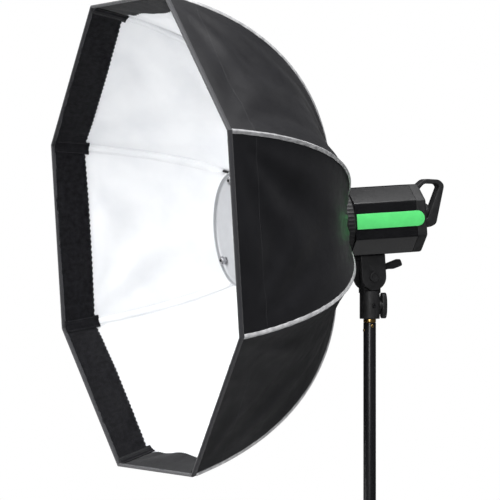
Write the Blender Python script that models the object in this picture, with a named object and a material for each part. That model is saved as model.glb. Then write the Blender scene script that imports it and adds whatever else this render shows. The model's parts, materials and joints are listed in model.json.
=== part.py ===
"""Octagonal studio softbox on a flash head, held by a swivel bracket on the top riser of a light stand.

Metres, +Z up. The origin is the centre of the riser's foot face, and the light shines towards -Y.
"""
import math

import bmesh
import bpy
from mathutils import Matrix, Vector

for old in list(bpy.data.objects):
    bpy.data.objects.remove(old)

CLEARANCE = 0.0003          # between pieces that touch
RUNNING = 0.0004            # between a bore and what turns in it

# Stand riser
RISER_LENGTH = 0.45
RISER_RADIUS = 0.011
RISER_WALL = 0.0015
FOOT_HEIGHT = 0.012
FOOT_RADIUS = 0.013
PLUG_DEPTH = 0.035
SPIGOT_RADIUS = 0.008
SPIGOT_HEIGHT = 0.036
SPIGOT_ROOT = 0.030
COLLAR_HEIGHT = 0.006
RIVET_RADIUS = 0.0016
RIVET_HEAD = 0.0028
RIVET_DROPS = (0.006, 0.0135)

# Swivel bracket
SOCKET_RADIUS = 0.0175
SOCKET_HEIGHT = 0.049
SOCKET_BORE_DEPTH = 0.040
KNOB_HEIGHT = 0.023         # of its screw above the socket's lower face
KNOB_SCREW = 0.003
WING_LENGTH = 0.045
WING_WIDTH = 0.018
WING_THICKNESS = 0.009
SET_SCREW = 0.0034
EAR_RADIUS = 0.0235
EAR_THICKNESS = 0.008
TONGUE_THICKNESS = 0.0214
TILT_BOLT = 0.004
BOLT_HEAD = 0.009
LEVER_LENGTH = 0.076
LEVER_REST = math.radians(18.9)
LEVER_HUB = 0.011
LEVER_HUB_LENGTH = 0.013

# Flash head, in a frame with x to the side, y up and z along the light
AXIS_RISE = 0.0976          # of the optical axis above the tilt pivot
NOSE_DOWN = math.radians(3.63)
FLANGE_FORWARD = 0.050      # of the head's front face before the tilt pivot
HEAD_HALF_WIDTH = 0.058
HEAD_HALF_HEIGHT = 0.059
HEAD_CHAMFER = 0.028
HEAD_CORNER = 0.006
HEAD_LENGTH = 0.120
HEAD_WALL = 0.003
FACE_SETBACK = 0.0008       # of the casing's front edge behind the head's front face
CAP_LENGTH = 0.0195
CAP_EDGE = 0.005
CAP_WALL = 0.0035
FLANGE_THICKNESS = 0.006
NECK_RADIUS = 0.048
NECK_LENGTH = 0.012
LAMP_OPENING = 0.040
TRIM_HEIGHT = 0.0265
TRIM_LENGTH = 0.130
TRIM_THICKNESS = 0.0012
SLIDE_STEM = 0.003
HANDLE_WIDTH = 0.020
BUTTON_RADIUS = 0.0045
BUTTON_TRAVEL = 0.0012
DIAL_RADIUS = 0.013
FAN_RADIUS = 0.040

# Softbox, in the same frame, measured from the head's front face
SIDES = 8
RIM_RADIUS = 0.433          # to the outer corners of the front edge
RIM_FORWARD = 0.375
SPEED_RING_RADIUS = 0.0645
SPEED_RING_LENGTH = 0.0215
HUB_RADIUS = 0.0700
HUB_OPENING = 0.042
HUB_LENGTH = 0.0165
SEAM_START = (0.066, 0.027)         # radius and forward distance where the cloth leaves the hub
SEAM_START_PULL = (0.265, 0.0512)   # the two handles of the curve that each rib bends to
SEAM_END_PULL = (0.383, 0.1873)
CLOTH = 0.0015
CLOTH_SAG = 0.025           # inward bow of a gore behind its straight front edge, as a share of its width
SEAM_GAP = 0.00025
ROD_RADIUS = 0.0022
ROD_GAP = 0.0008
EYE_RADIUS = 0.0042
EYE_WIDTH = 0.005
HINGE_WIRE = 0.0015
SLOT_WIDTH = 0.0062
SLOT_ROOM = 0.0008          # of a rib's eye inside its slot
COLLAR = 0.0022             # elastic edge around the hub
DISH_RADIUS = 0.100
DISH_FORWARD = 0.190
DISH_LIP = 0.008
DISH_SHEET = 0.002
POST_RADIUS = 0.003
STUD_RADIUS = 0.0022         # threaded end of a post
POST_CIRCLE = 0.085
POST_ROOT_CIRCLE = 0.050
POST_ANGLES = (219, 339, 99)
NUT_RADIUS = 0.0075
NUT_LENGTH = 0.009


def material(name, colour, roughness, metallic=0.0):
    made = bpy.data.materials.new(name)
    made.use_nodes = True
    shader = made.node_tree.nodes["Principled BSDF"]
    shader.inputs["Base Color"].default_value = (*colour, 1)
    shader.inputs["Roughness"].default_value = roughness
    shader.inputs["Metallic"].default_value = metallic
    return made


BLACK_ALLOY = material("black_painted_alloy", (0.02, 0.02, 0.022), 0.45, 0.2)
BLACK_PLASTIC = material("black_moulded_plastic", (0.016, 0.016, 0.018), 0.55)
GLOSS_BLACK = material("gloss_black_casing", (0.012, 0.012, 0.014), 0.22)
BRASS = material("brass", (0.72, 0.49, 0.2), 0.3, 1.0)
STEEL = material("bright_steel", (0.55, 0.55, 0.57), 0.35, 1.0)
ALUMINIUM = material("aluminium", (0.62, 0.62, 0.64), 0.4, 1.0)
GREEN = material("green_trim", (0.11, 0.78, 0.2), 0.4)
CLOTH_BLACK = material("black_nylon", (0.02, 0.02, 0.024), 0.8)
WHITE_METAL = material("white_enamel", (0.85, 0.85, 0.87), 0.5)
GLASS = material("frosted_glass", (0.9, 0.9, 0.88), 0.3)
CERAMIC = material("white_ceramic", (0.8, 0.79, 0.75), 0.6)
BOARD_GREEN = material("circuit_board", (0.03, 0.2, 0.08), 0.5)
DISPLAY = material("display_window", (0.03, 0.05, 0.07), 0.12)


def place(obj, finish, parent=None, location=(0, 0, 0), rotation=(0, 0, 0)):
    """Gives an object its material, its parent and its place, and shades its round faces smooth."""
    obj.data.materials.clear()
    obj.data.materials.append(finish)
    obj.parent = parent
    obj.location = location
    obj.rotation_euler = rotation
    if obj.type == "MESH":
        obj.data.shade_smooth()
        obj.data.set_sharp_from_angle(angle=math.radians(35))
    return obj


def axis(name, parent, location, rotation=(0, 0, 0)):
    made = bpy.data.objects.new(name, None)
    bpy.context.scene.collection.objects.link(made)
    made.parent = parent
    made.location = location
    made.rotation_euler = rotation
    return made


def mesh_object(name, points, faces):
    mesh = bpy.data.meshes.new(name)
    mesh.from_pydata([tuple(p) for p in points], [], faces)
    shape = bmesh.new()
    shape.from_mesh(mesh)
    bmesh.ops.recalc_face_normals(shape, faces=shape.faces)
    shape.to_mesh(mesh)
    shape.free()
    made = bpy.data.objects.new(name, mesh)
    bpy.context.scene.collection.objects.link(made)
    return made


def turned(name, profile, sides=24):
    """A closed profile of (radius, z) turned about z. A point on the axis has radius 0."""
    points, rings = [], []
    for radius, z in profile:
        count = sides if radius > 0 else 1
        rings.append([len(points) + k for k in range(count)])
        for k in range(count):
            turn = 2 * math.pi * k / sides
            points.append((radius * math.cos(turn), radius * math.sin(turn), z))
    faces = []
    for near, far in zip(rings, rings[1:] + rings[:1]):
        for k in range(sides):
            after = (k + 1) % sides
            corners = [near[k % len(near)], near[after % len(near)], far[after % len(far)], far[k % len(far)]]
            corners = list(dict.fromkeys(corners))
            if len(corners) > 2:
                faces.append(corners)
    return mesh_object(name, points, faces)


def stacked(name, layers):
    """Outlines in x and y with the same number of points, each at its own z, joined into one solid."""
    count = len(layers[0][0])
    points = [(x, y, z) for outline, z in layers for x, y in outline]
    last = len(points) - count
    faces = [list(range(count))[::-1], list(range(last, last + count))]
    for first in range(0, last, count):
        faces += [[first + k, first + (k + 1) % count, first + count + (k + 1) % count, first + count + k]
                  for k in range(count)]
    return mesh_object(name, points, faces)


def prism(name, outline, low, high):
    """An outline in x and y, extruded from z = low to z = high."""
    return stacked(name, [(outline, low), (outline, high)])


def box(name, low, high):
    outline = [(low[0], low[1]), (high[0], low[1]), (high[0], high[1]), (low[0], high[1])]
    return prism(name, outline, low[2], high[2])


def rod(name, start, end, radius, sides=16):
    """A straight round bar between two points."""
    start, end = Vector(start), Vector(end)
    length = (end - start).length
    made = turned(name, [(0, 0), (radius, 0), (radius, length), (0, length)], sides)
    turn = (end - start).to_track_quat("Z", "Y").to_matrix().to_4x4()
    made.data.transform(Matrix.Translation(start) @ turn)
    return made


def wire(name, points, radius, resolution=2, closed=False):
    """A round wire along points."""
    curve = bpy.data.curves.new(name, "CURVE")
    curve.dimensions = "3D"
    curve.bevel_depth = radius
    curve.bevel_resolution = resolution
    curve.use_fill_caps = not closed
    spline = curve.splines.new("POLY")
    spline.points.add(len(points) - 1)
    for point, place_at in zip(spline.points, points):
        point.co = (*place_at, 1)
    spline.use_cyclic_u = closed
    made = bpy.data.objects.new(name, curve)
    bpy.context.scene.collection.objects.link(made)
    return made


def rounded(outline, radius, steps=2):
    """The outline with each corner turned into an arc, no larger than its two edges allow."""
    made = []
    count = len(outline)
    for k in range(count):
        here = Vector(outline[k])
        before = Vector(outline[k - 1]) - here
        after = Vector(outline[(k + 1) % count]) - here
        angle = before.angle(after)
        reach = min(radius / math.tan(angle / 2), before.length * 0.45, after.length * 0.45)
        start, end = here + before.normalized() * reach, here + after.normalized() * reach
        for step in range(steps + 1):
            share = step / steps
            point = start * (1 - share) ** 2 + here * 2 * share * (1 - share) + end * share ** 2
            made.append((point.x, point.y))
    return made


def cut(obj, cutter):
    join(obj, cutter, "DIFFERENCE")


def unite(obj, other):
    join(obj, other, "UNION")


def join(obj, other, operation):
    """Applies a Boolean with the other shape, which is then thrown away."""
    step = obj.modifiers.new(operation.lower(), "BOOLEAN")
    step.operation = operation
    step.solver = "EXACT"
    step.object = other
    other.hide_render = True
    other.display_type = "WIRE"
    settle(obj)
    bpy.data.objects.remove(other)


def settle(obj):
    """Turns an object's modifiers into its mesh."""
    bpy.context.view_layer.update()
    finished = obj.evaluated_get(bpy.context.evaluated_depsgraph_get())
    mesh = bpy.data.meshes.new_from_object(finished)
    obj.modifiers.clear()
    obj.data = mesh


def turn_mesh(obj, matrix):
    """Moves a mesh by a matrix, and keeps its faces outwards where the matrix mirrors it."""
    obj.data.transform(matrix)
    if matrix.determinant() < 0:
        obj.data.flip_normals()


def soften(obj, width, segments=2, angle=40):
    """Rounds the edges sharper than an angle."""
    bevel = obj.modifiers.new("soft_edges", "BEVEL")
    bevel.width = width
    bevel.segments = segments
    bevel.limit_method = "ANGLE"
    bevel.angle_limit = math.radians(angle)
    bevel.use_clamp_overlap = True


# Heights along the riser
TUBE_TOP = FOOT_HEIGHT + RISER_LENGTH
SOCKET_FOOT = TUBE_TOP + COLLAR_HEIGHT + 2 * CLEARANCE
SOCKET_TOP = SOCKET_FOOT + SOCKET_HEIGHT
TILT_HEIGHT = SOCKET_TOP + EAR_RADIUS + 2 * CLEARANCE
KNOB_Z = SOCKET_FOOT + KNOB_HEIGHT
BORE = SPIGOT_RADIUS + RUNNING
EAR_REACH = TONGUE_THICKNESS / 2 + CLEARANCE + EAR_THICKNESS


def riser():
    inner = RISER_RADIUS - RISER_WALL
    tube = turned("riser_tube", [
        (inner, FOOT_HEIGHT), (RISER_RADIUS, FOOT_HEIGHT), (RISER_RADIUS, TUBE_TOP), (inner, TUBE_TOP)])
    for name, way, drop in (("rivet_side", (1, 0), RIVET_DROPS[0]), ("rivet_front", (0, -1), RIVET_DROPS[1])):
        z = TUBE_TOP - drop
        hole = RIVET_RADIUS + CLEARANCE
        cut(tube, rod("hole", (way[0] * inner * 0.5, way[1] * inner * 0.5, z),
                      (way[0] * RISER_RADIUS * 1.2, way[1] * RISER_RADIUS * 1.2, z), hole, 12))
        head_from = RISER_RADIUS + CLEARANCE
        rivet = turned(name, [
            (0, inner + CLEARANCE), (RIVET_RADIUS, inner + CLEARANCE), (RIVET_RADIUS, head_from),
            (RIVET_HEAD, head_from), (RIVET_HEAD * 0.8, head_from + 0.0007),
            (RIVET_HEAD * 0.4, head_from + 0.0011), (0, head_from + 0.0012)], 12)
        turn = (0, math.pi / 2, 0) if way[0] else (math.pi / 2, 0, 0)
        place(rivet, BRASS, None, (0, 0, z), turn)
    place(tube, BLACK_ALLOY)

    shank = inner - CLEARANCE
    plug = turned("riser_foot_plug", [
        (0, 0), (FOOT_RADIUS - 0.001, 0), (FOOT_RADIUS, 0.001), (FOOT_RADIUS, FOOT_HEIGHT - 0.0015),
        (FOOT_RADIUS - 0.001, FOOT_HEIGHT - CLEARANCE), (shank, FOOT_HEIGHT - CLEARANCE),
        (shank, FOOT_HEIGHT + PLUG_DEPTH - 0.002), (shank - 0.002, FOOT_HEIGHT + PLUG_DEPTH),
        (0, FOOT_HEIGHT + PLUG_DEPTH)])
    place(plug, BLACK_PLASTIC)

    seat = TUBE_TOP + CLEARANCE
    collar = seat + COLLAR_HEIGHT
    waist = SPIGOT_RADIUS - 0.0015
    half = WING_THICKNESS / 2
    spigot = turned("brass_spigot", [
        (0, TUBE_TOP - SPIGOT_ROOT), (shank, TUBE_TOP - SPIGOT_ROOT), (shank, seat), (RISER_RADIUS, seat),
        (RISER_RADIUS, collar), (SPIGOT_RADIUS, collar), (SPIGOT_RADIUS, KNOB_Z - half),
        (waist, KNOB_Z - half + 0.0015), (waist, KNOB_Z + half - 0.0015), (SPIGOT_RADIUS, KNOB_Z + half),
        (SPIGOT_RADIUS, collar + SPIGOT_HEIGHT - 0.002), (SPIGOT_RADIUS - 0.002, collar + SPIGOT_HEIGHT),
        (0, collar + SPIGOT_HEIGHT)])
    place(spigot, BRASS)


def swivel(pan):
    """The socket turns on the spigot. Its tongue stands between the yoke's ears. Heights are absolute."""
    bore_top = SOCKET_FOOT + SOCKET_BORE_DEPTH
    socket = turned("swivel_socket", [
        (BORE + 0.001, SOCKET_FOOT), (SOCKET_RADIUS - 0.0008, SOCKET_FOOT),
        (SOCKET_RADIUS, SOCKET_FOOT + 0.0008),
        (SOCKET_RADIUS, SOCKET_TOP - 0.0015), (SOCKET_RADIUS - 0.0015, SOCKET_TOP), (0, SOCKET_TOP),
        (0, bore_top), (BORE, bore_top), (BORE, SOCKET_FOOT + 0.001)])
    round_end = SOCKET_RADIUS - 0.0015
    tongue = prism("tongue", half_round(round_end, SOCKET_TOP - TILT_HEIGHT - 0.004), -TONGUE_THICKNESS / 2,
                   TONGUE_THICKNESS / 2)
    tongue.data.transform(Matrix.Translation((0, 0, TILT_HEIGHT)) @ SIDEWAYS)
    unite(socket, tongue)
    boss_end = SOCKET_RADIUS + 0.0015
    unite(socket, rod("boss", (0, BORE + 0.004, KNOB_Z), (0, boss_end, KNOB_Z), 0.0095, 20))
    cut(socket, rod("bolt_hole", (-0.03, 0, TILT_HEIGHT), (0.03, 0, TILT_HEIGHT), TILT_BOLT + RUNNING))
    cut(socket, rod("screw_hole", (0, 0.002, KNOB_Z), (0, 0.03, KNOB_Z), KNOB_SCREW + RUNNING))
    cut(socket, rod("set_hole", (0.002, 0, KNOB_Z), (0.03, 0, KNOB_Z), SET_SCREW + CLEARANCE))
    place(socket, BLACK_ALLOY, pan)

    screw_from = BORE + CLEARANCE
    set_screw = turned("socket_set_screw", [
        (0, screw_from), (SET_SCREW, screw_from), (SET_SCREW, SOCKET_RADIUS + 0.0012),
        (0.002, SOCKET_RADIUS + 0.0012), (0.002, SOCKET_RADIUS - 0.001), (0, SOCKET_RADIUS - 0.001)], 16)
    place(set_screw, BLACK_ALLOY, pan, (0, 0, KNOB_Z), (0, math.pi / 2, 0))

    knob_axis = axis("knob_axis", pan, (0, 0, KNOB_Z), (-math.pi / 2, 0, 0))
    wing_from = boss_end + 0.003
    knob = turned("paddle_knob", [
        (0, screw_from), (KNOB_SCREW, screw_from), (KNOB_SCREW, boss_end + CLEARANCE),
        (0.0075, boss_end + CLEARANCE), (0.0075, wing_from + 0.001), (0, wing_from + 0.001)], 20)
    lobe = WING_WIDTH / 2
    outline = [(lobe * math.cos(a) * 0.9, (WING_LENGTH / 2) * math.sin(a)) for a in full_turn(28)]
    wing = prism("wing", outline, wing_from, wing_from + WING_THICKNESS)
    soften(wing, 0.0022)
    settle(wing)
    unite(knob, wing)
    place(knob, BLACK_PLASTIC, knob_axis)


def full_turn(count):
    return [2 * math.pi * k / count for k in range(count)]


def half_round(radius, end, steps=14):
    """A D shape about the origin: a half circle on the side away from y = end, closed straight at y = end."""
    side = 1 if end < 0 else -1
    arc = [math.pi * k / steps for k in range(steps + 1)]
    round_end = [(radius * math.cos(a), side * radius * math.sin(a)) for a in arc]
    return round_end + [(-radius, end), (radius, end)]


# Turns a prism drawn in x and y, and extruded along z, into one drawn in Y and Z and extruded along X
SIDEWAYS = Matrix(((0, 0, 1, 0), (1, 0, 0, 0), (0, 1, 0, 0), (0, 0, 0, 1)))
HEAD_BELOW = AXIS_RISE - HEAD_HALF_HEIGHT   # the casing's lower face above the tilt pivot


def tilt_bracket(tilt):
    yoke = prism("tilt_yoke", half_round(EAR_RADIUS, HEAD_BELOW - CLEARANCE), -EAR_REACH, EAR_REACH)
    yoke.data.transform(SIDEWAYS)
    slot = TONGUE_THICKNESS / 2 + CLEARANCE
    plate_under = HEAD_BELOW - EAR_THICKNESS
    cut(yoke, box("slot", (-slot, -0.05, -0.05), (slot, 0.05, plate_under)))
    cut(yoke, rod("bolt_hole", (-0.05, 0, 0), (0.05, 0, 0), TILT_BOLT + CLEARANCE))
    soften(yoke, 0.0012, 1)
    place(yoke, BLACK_ALLOY, tilt)

    lever_from = EAR_REACH + RUNNING
    lever_to = lever_from + LEVER_HUB_LENGTH
    bolt = turned("tilt_bolt", [
        (0, -lever_to - 0.002), (TILT_BOLT, -lever_to - 0.002),
        (TILT_BOLT, EAR_REACH + CLEARANCE), (BOLT_HEAD, EAR_REACH + CLEARANCE),
        (BOLT_HEAD, EAR_REACH + 0.0020), (BOLT_HEAD - 0.0012, EAR_REACH + 0.0030),
        (0, EAR_REACH + 0.0034)], 24)
    place(bolt, BLACK_ALLOY, tilt, (0, 0, 0), (0, math.pi / 2, 0))

    lever_axis = axis("lever_axis", tilt, (0, 0, 0), (LEVER_REST, 0, 0))
    lever = rod("tilt_lever", (-lever_to, 0, 0), (-lever_from, 0, 0), LEVER_HUB, 24)
    grip = prism("grip", rounded([
        (0.004, -0.006), (LEVER_LENGTH * 0.6, -0.0045), (LEVER_LENGTH * 0.75, -0.009), (LEVER_LENGTH, -0.010),
        (LEVER_LENGTH, 0.003), (LEVER_LENGTH * 0.6, 0.0045), (0.004, 0.006)], 0.004),
        -lever_to + 0.001, -lever_from - 0.001)
    grip.data.transform(SIDEWAYS)
    unite(lever, grip)
    cut(lever, rod("bolt_hole", (-0.06, 0, 0), (0, 0, 0), TILT_BOLT + RUNNING))
    place(lever, BLACK_PLASTIC, lever_axis)


def casing_outline(inset=0.0):
    """The head's eight-sided section with rounded corners, moved inwards by an inset."""
    w, h = HEAD_HALF_WIDTH - inset, HEAD_HALF_HEIGHT - inset
    c = HEAD_CHAMFER - inset * (2 - math.sqrt(2))
    quarter = [(w, h - c), (w - c, h)]
    outline = quarter + [(-x, y) for x, y in quarter[::-1]]
    outline += [(-x, -y) for x, y in outline]
    return rounded(outline, HEAD_CORNER)


CAP_FRONT = -HEAD_LENGTH - CLEARANCE
CAP_BACK = CAP_FRONT - CAP_LENGTH
SLIDE_UP = 0.024
SLIDE_TRAVEL = 0.005
SLIDE_BACK, SLIDE_FRONT = -0.026, -0.014


def casing(head):
    housing = prism("head_housing", casing_outline(), -HEAD_LENGTH, -FACE_SETBACK)
    cut(housing, prism("inside", casing_outline(HEAD_WALL), -HEAD_LENGTH - 0.01, 0.01))
    slot_half = SLIDE_STEM + RUNNING
    slot_low = (-HEAD_HALF_WIDTH - 0.01, SLIDE_UP - slot_half,
                SLIDE_BACK + SLIDE_STEM - SLIDE_TRAVEL - RUNNING)
    slot_high = (-HEAD_HALF_WIDTH + HEAD_WALL + 0.002, SLIDE_UP + slot_half,
                 SLIDE_FRONT - SLIDE_STEM + RUNNING)
    cut(housing, box("slide_slot", slot_low, slot_high))
    place(housing, GLOSS_BLACK, head)

    slide = box("release_slide", (-HEAD_HALF_WIDTH - 0.0035, SLIDE_UP - 0.005, SLIDE_BACK),
                (-HEAD_HALF_WIDTH - CLEARANCE, SLIDE_UP + 0.005, SLIDE_FRONT))
    soften(slide, 0.001)
    settle(slide)
    stem_low = (-HEAD_HALF_WIDTH - 0.001, SLIDE_UP - SLIDE_STEM, SLIDE_BACK + SLIDE_STEM)
    stem_high = (-HEAD_HALF_WIDTH + HEAD_WALL + 0.001, SLIDE_UP + SLIDE_STEM, SLIDE_FRONT - SLIDE_STEM)
    unite(slide, box("stem", stem_low, stem_high))
    place(slide, BLACK_PLASTIC, head)

    inside = casing_outline(HEAD_WALL + CLEARANCE)
    flange = prism("head_flange", inside, -FACE_SETBACK - FLANGE_THICKNESS, -FACE_SETBACK)
    unite(flange, rod("neck", (0, 0, -0.003), (0, 0, NECK_LENGTH), NECK_RADIUS, 40))
    cut(flange, rod("lamp_opening", (0, 0, -0.03), (0, 0, 0.03), LAMP_OPENING, 40))
    place(flange, ALUMINIUM, head)

    trim_right = prism("trim_right", trim_outline(), HEAD_HALF_WIDTH + CLEARANCE,
                       HEAD_HALF_WIDTH + CLEARANCE + TRIM_THICKNESS)
    turn_mesh(trim_right, SIDEWAYS_TRIM)
    place(trim_right, GREEN, head)
    trim_left = prism("trim_left", trim_outline(), -HEAD_HALF_WIDTH - CLEARANCE - TRIM_THICKNESS,
                      -HEAD_HALF_WIDTH - CLEARANCE)
    turn_mesh(trim_left, SIDEWAYS_TRIM)
    place(trim_left, GREEN, head)


# Turns a prism drawn in x and y into one drawn in the head's z and y, and extruded along its x
SIDEWAYS_TRIM = Matrix(((0, 0, 1, 0), (0, 1, 0, 0), (1, 0, 0, 0), (0, 0, 0, 1)))
TRIM_FRONT = -0.004


def trim_outline():
    """A strip that is square at the front and half round at the back."""
    half = TRIM_HEIGHT / 2
    back = TRIM_FRONT - TRIM_LENGTH + half
    arc = [math.pi / 2 + math.pi * k / 12 for k in range(13)]
    return [(TRIM_FRONT, -half), (TRIM_FRONT, half)] + [
        (back + half * math.cos(a), half * math.sin(a)) for a in arc]


# Rear controls: centre to the side, centre upwards
DISPLAY_AT, DISPLAY_SIZE = (-0.0335, 0.014), (0.032, 0.022)
DIAL_AT = (0.033, 0.012)
BUTTONS_AT = ((-0.0455, -0.010), (-0.0335, -0.010), (-0.0215, -0.010))
ROCKER_AT, ROCKER_SIZE = (0.033, -0.028), (0.019, 0.013)
ROCKER_PIVOT = 0.003
INLET_AT, INLET_SIZE = (-0.018, -0.034), (0.028, 0.020)
DISPLAY_DEPTH = 0.0013
INLET_DEPTH = 0.018
INLET_CAVITY = 0.013
INLET_WALL = 0.002
PIN_HALF_WIDTH, PIN_HALF_HEIGHT = 0.0006, 0.0020
DIAL_SHAFT = 0.003
DIAL_LENGTH = 0.012


def centred(name, centre, size, low, high, extra=0.0):
    w, h = size[0] / 2 + extra, size[1] / 2 + extra
    return box(name, (centre[0] - w, centre[1] - h, low), (centre[0] + w, centre[1] + h, high))


def rear_cap(head):
    levels = []
    for k in range(5):
        turn = math.pi / 2 * k / 4
        outline = casing_outline(CAP_EDGE * (1 - math.sin(turn)))
        levels.append((outline, CAP_BACK + CAP_EDGE * (1 - math.cos(turn))))
    rim = stacked("rear_cap", levels + [(casing_outline(), CAP_FRONT)])
    cut(rim, prism("hollow", casing_outline(CAP_WALL + 0.001), CAP_BACK + CAP_WALL, 0.0))
    outside = CAP_BACK - 0.01
    recess_floor = CAP_BACK + DISPLAY_DEPTH
    cut(rim, centred("display_recess", DISPLAY_AT, DISPLAY_SIZE, outside, recess_floor, CLEARANCE))
    cut(rim, rod("dial_hole", (*DIAL_AT, outside), (*DIAL_AT, 0), DIAL_SHAFT + RUNNING))
    for centre in BUTTONS_AT:
        cut(rim, rod("button_hole", (*centre, outside), (*centre, 0), BUTTON_RADIUS + RUNNING))
    cut(rim, centred("rocker_hole", ROCKER_AT, ROCKER_SIZE, outside, 0, 0.0011))
    cut(rim, centred("inlet_hole", INLET_AT, INLET_SIZE, outside, 0, CLEARANCE))
    place(rim, BLACK_PLASTIC, head)


def rear_controls(head):
    pane_floor = CAP_BACK + DISPLAY_DEPTH - CLEARANCE
    window = centred("display_window", DISPLAY_AT, DISPLAY_SIZE, CAP_BACK, pane_floor)
    place(window, DISPLAY, head)

    gap = CLEARANCE
    dial = turned("control_dial", [
        (0, 0.010), (DIAL_SHAFT, 0.010), (DIAL_SHAFT, -gap), (DIAL_RADIUS, -gap),
        (DIAL_RADIUS - 0.0006, -DIAL_LENGTH + 0.001), (DIAL_RADIUS - 0.0016, -DIAL_LENGTH),
        (DIAL_SHAFT, -DIAL_LENGTH), (0, -DIAL_LENGTH + 0.0006)], 28)
    place(dial, BLACK_PLASTIC, axis("dial_axis", head, (*DIAL_AT, CAP_BACK)))

    for k, centre in enumerate(BUTTONS_AT):
        inner = CAP_WALL + BUTTON_TRAVEL * 0.1 + gap
        flange = BUTTON_RADIUS + 0.0009
        button = turned(f"push_button_{k + 1}", [
            (0, inner + 0.002), (flange, inner + 0.002), (flange, inner), (BUTTON_RADIUS, inner),
            (BUTTON_RADIUS, -0.0014), (BUTTON_RADIUS - 0.0006, -0.002), (0, -0.002)], 16)
        place(button, BLACK_PLASTIC, head, (*centre, CAP_BACK))

    half_l, half_h = ROCKER_SIZE[0] / 2, ROCKER_SIZE[1] / 2
    profile = [(-half_l, 0.001), (0, -0.0012), (half_l, -0.0012), (half_l, 0.004), (0.003, 0.009),
               (-0.003, 0.009), (-half_l, 0.004)]
    rocker = prism("rocker_switch", profile, -half_h, half_h)
    turn_mesh(rocker, Matrix(((1, 0, 0, 0), (0, 0, -1, 0), (0, 1, 0, 0), (0, 0, 0, 1))))
    soften(rocker, 0.0005, 1)
    rocker_axis = axis("rocker_axis", head, (*ROCKER_AT, CAP_BACK + ROCKER_PIVOT))
    rocker.data.transform(Matrix.Translation((0, 0, -ROCKER_PIVOT)))
    place(rocker, BLACK_PLASTIC, rocker_axis)

    inlet = centred("power_inlet", INLET_AT, INLET_SIZE, CAP_BACK - 0.0006, CAP_BACK + INLET_DEPTH)
    cut(inlet, centred("cavity", INLET_AT, INLET_SIZE, CAP_BACK - 0.01, CAP_BACK + INLET_CAVITY, -INLET_WALL))
    for side, up in ((-0.007, -0.002), (0, 0.002), (0.007, -0.002)):
        centre = (INLET_AT[0] + side, INLET_AT[1] + up)
        size = (2 * PIN_HALF_WIDTH, 2 * PIN_HALF_HEIGHT)
        unite(inlet, centred("pin", centre, size, CAP_BACK + 0.004, CAP_BACK + INLET_CAVITY + 0.001))
    place(inlet, BLACK_PLASTIC, head)


def handle(head):
    """An open loop behind the cap, drawn as (distance behind the cap, height above the axis)."""
    root = CAP_BACK - CLEARANCE
    outline = rounded([
        (0, 0.0500), (0.0235, 0.0670), (0.0515, 0.0640), (0.0605, 0.0545), (0.0405, -0.0130),
        (0.0300, -0.0175), (0, -0.0195), (0, -0.0045), (0.0235, -0.0045), (0.0510, 0.0520),
        (0.0470, 0.0570), (0.0215, 0.0590), (0, 0.0385)], 0.006)
    outline = [(root - back, up) for back, up in outline]
    grip = prism("carry_handle", outline, -HANDLE_WIDTH / 2, HANDLE_WIDTH / 2)
    turn_mesh(grip, SIDEWAYS_TRIM)
    soften(grip, 0.0025, 1)
    place(grip, BLACK_PLASTIC, head)


BASE_FRONT = -0.001
BASE_THICKNESS = 0.009
TUBE_CIRCLE = 0.026
DOME_RADIUS = 0.0365
DOME_LENGTH = 0.052
DOME_WALL = 0.002


def lamps(head):
    base = turned("lamp_base", [
        (0, BASE_FRONT - BASE_THICKNESS), (LAMP_OPENING - CLEARANCE, BASE_FRONT - BASE_THICKNESS),
        (LAMP_OPENING - CLEARANCE, BASE_FRONT), (0, BASE_FRONT)], 40)
    place(base, CERAMIC, head)
    seat = BASE_FRONT + CLEARANCE
    height = 0.016
    start, end = math.radians(-75), math.radians(255)
    arc = [start + (end - start) * k / 20 for k in range(21)]
    loop = [(TUBE_CIRCLE * math.cos(a), TUBE_CIRCLE * math.sin(a), height) for a in arc]
    bend = height - 0.003
    first_leg = [(*loop[0][:2], seat), (*loop[0][:2], bend)]
    last_leg = [(*loop[-1][:2], bend), (*loop[-1][:2], seat)]
    tube = wire("flash_tube", first_leg + loop + last_leg, 0.0035, 1)
    place(tube, GLASS, head)
    bulb = turned("modelling_lamp", [
        (0, seat), (0.006, seat), (0.006, 0.010), (0.009, 0.018), (0.0105, 0.026), (0.009, 0.034),
        (0.005, 0.0385), (0, 0.040)], 16)
    place(bulb, GLASS, head)
    outer = [(DOME_RADIUS, seat)] + [
        (DOME_RADIUS * math.cos(a), DOME_LENGTH - DOME_RADIUS + DOME_RADIUS * math.sin(a))
        for a in (math.pi / 2 * k / 5 for k in range(5))] + [(0, DOME_LENGTH)]
    inner = [(max(r - DOME_WALL, 0), z if z == seat else z - DOME_WALL * (z > 0.02)) for r, z in outer]
    dome = turned("glass_dome", outer + inner[::-1], 24)
    place(dome, GLASS, head)


FAN_BACK = -0.112
FAN_DEPTH = 0.012


def electronics(head):
    board = box("circuit_board", (-0.044, -0.038, -0.098), (-0.0424, 0.038, -0.014))
    place(board, BOARD_GREEN, head)
    capacitor = turned("flash_capacitor", [(0, -0.092), (0.024, -0.092), (0.024, -0.022), (0, -0.022)], 28)
    place(capacitor, ALUMINIUM, head, (0.004, 0, 0))
    fan = turned("fan_wheel", [
        (0, FAN_BACK), (0.012, FAN_BACK), (0.012, FAN_BACK + FAN_DEPTH), (0, FAN_BACK + FAN_DEPTH)], 20)
    for angle in full_turn(7):
        blade = box("blade", (0.010, -0.001, 0.0015), (FAN_RADIUS, 0.001, FAN_DEPTH - 0.0015))
        lean = Matrix.Rotation(math.radians(35), 4, "X")
        middle = Matrix.Translation((0, 0, FAN_DEPTH / 2))
        blade.data.transform(middle @ lean @ middle.inverted())
        blade.data.transform(Matrix.Translation((0, 0, FAN_BACK)) @ Matrix.Rotation(angle, 4, "Z"))
        unite(fan, blade)
    place(fan, BLACK_PLASTIC, head)


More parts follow.
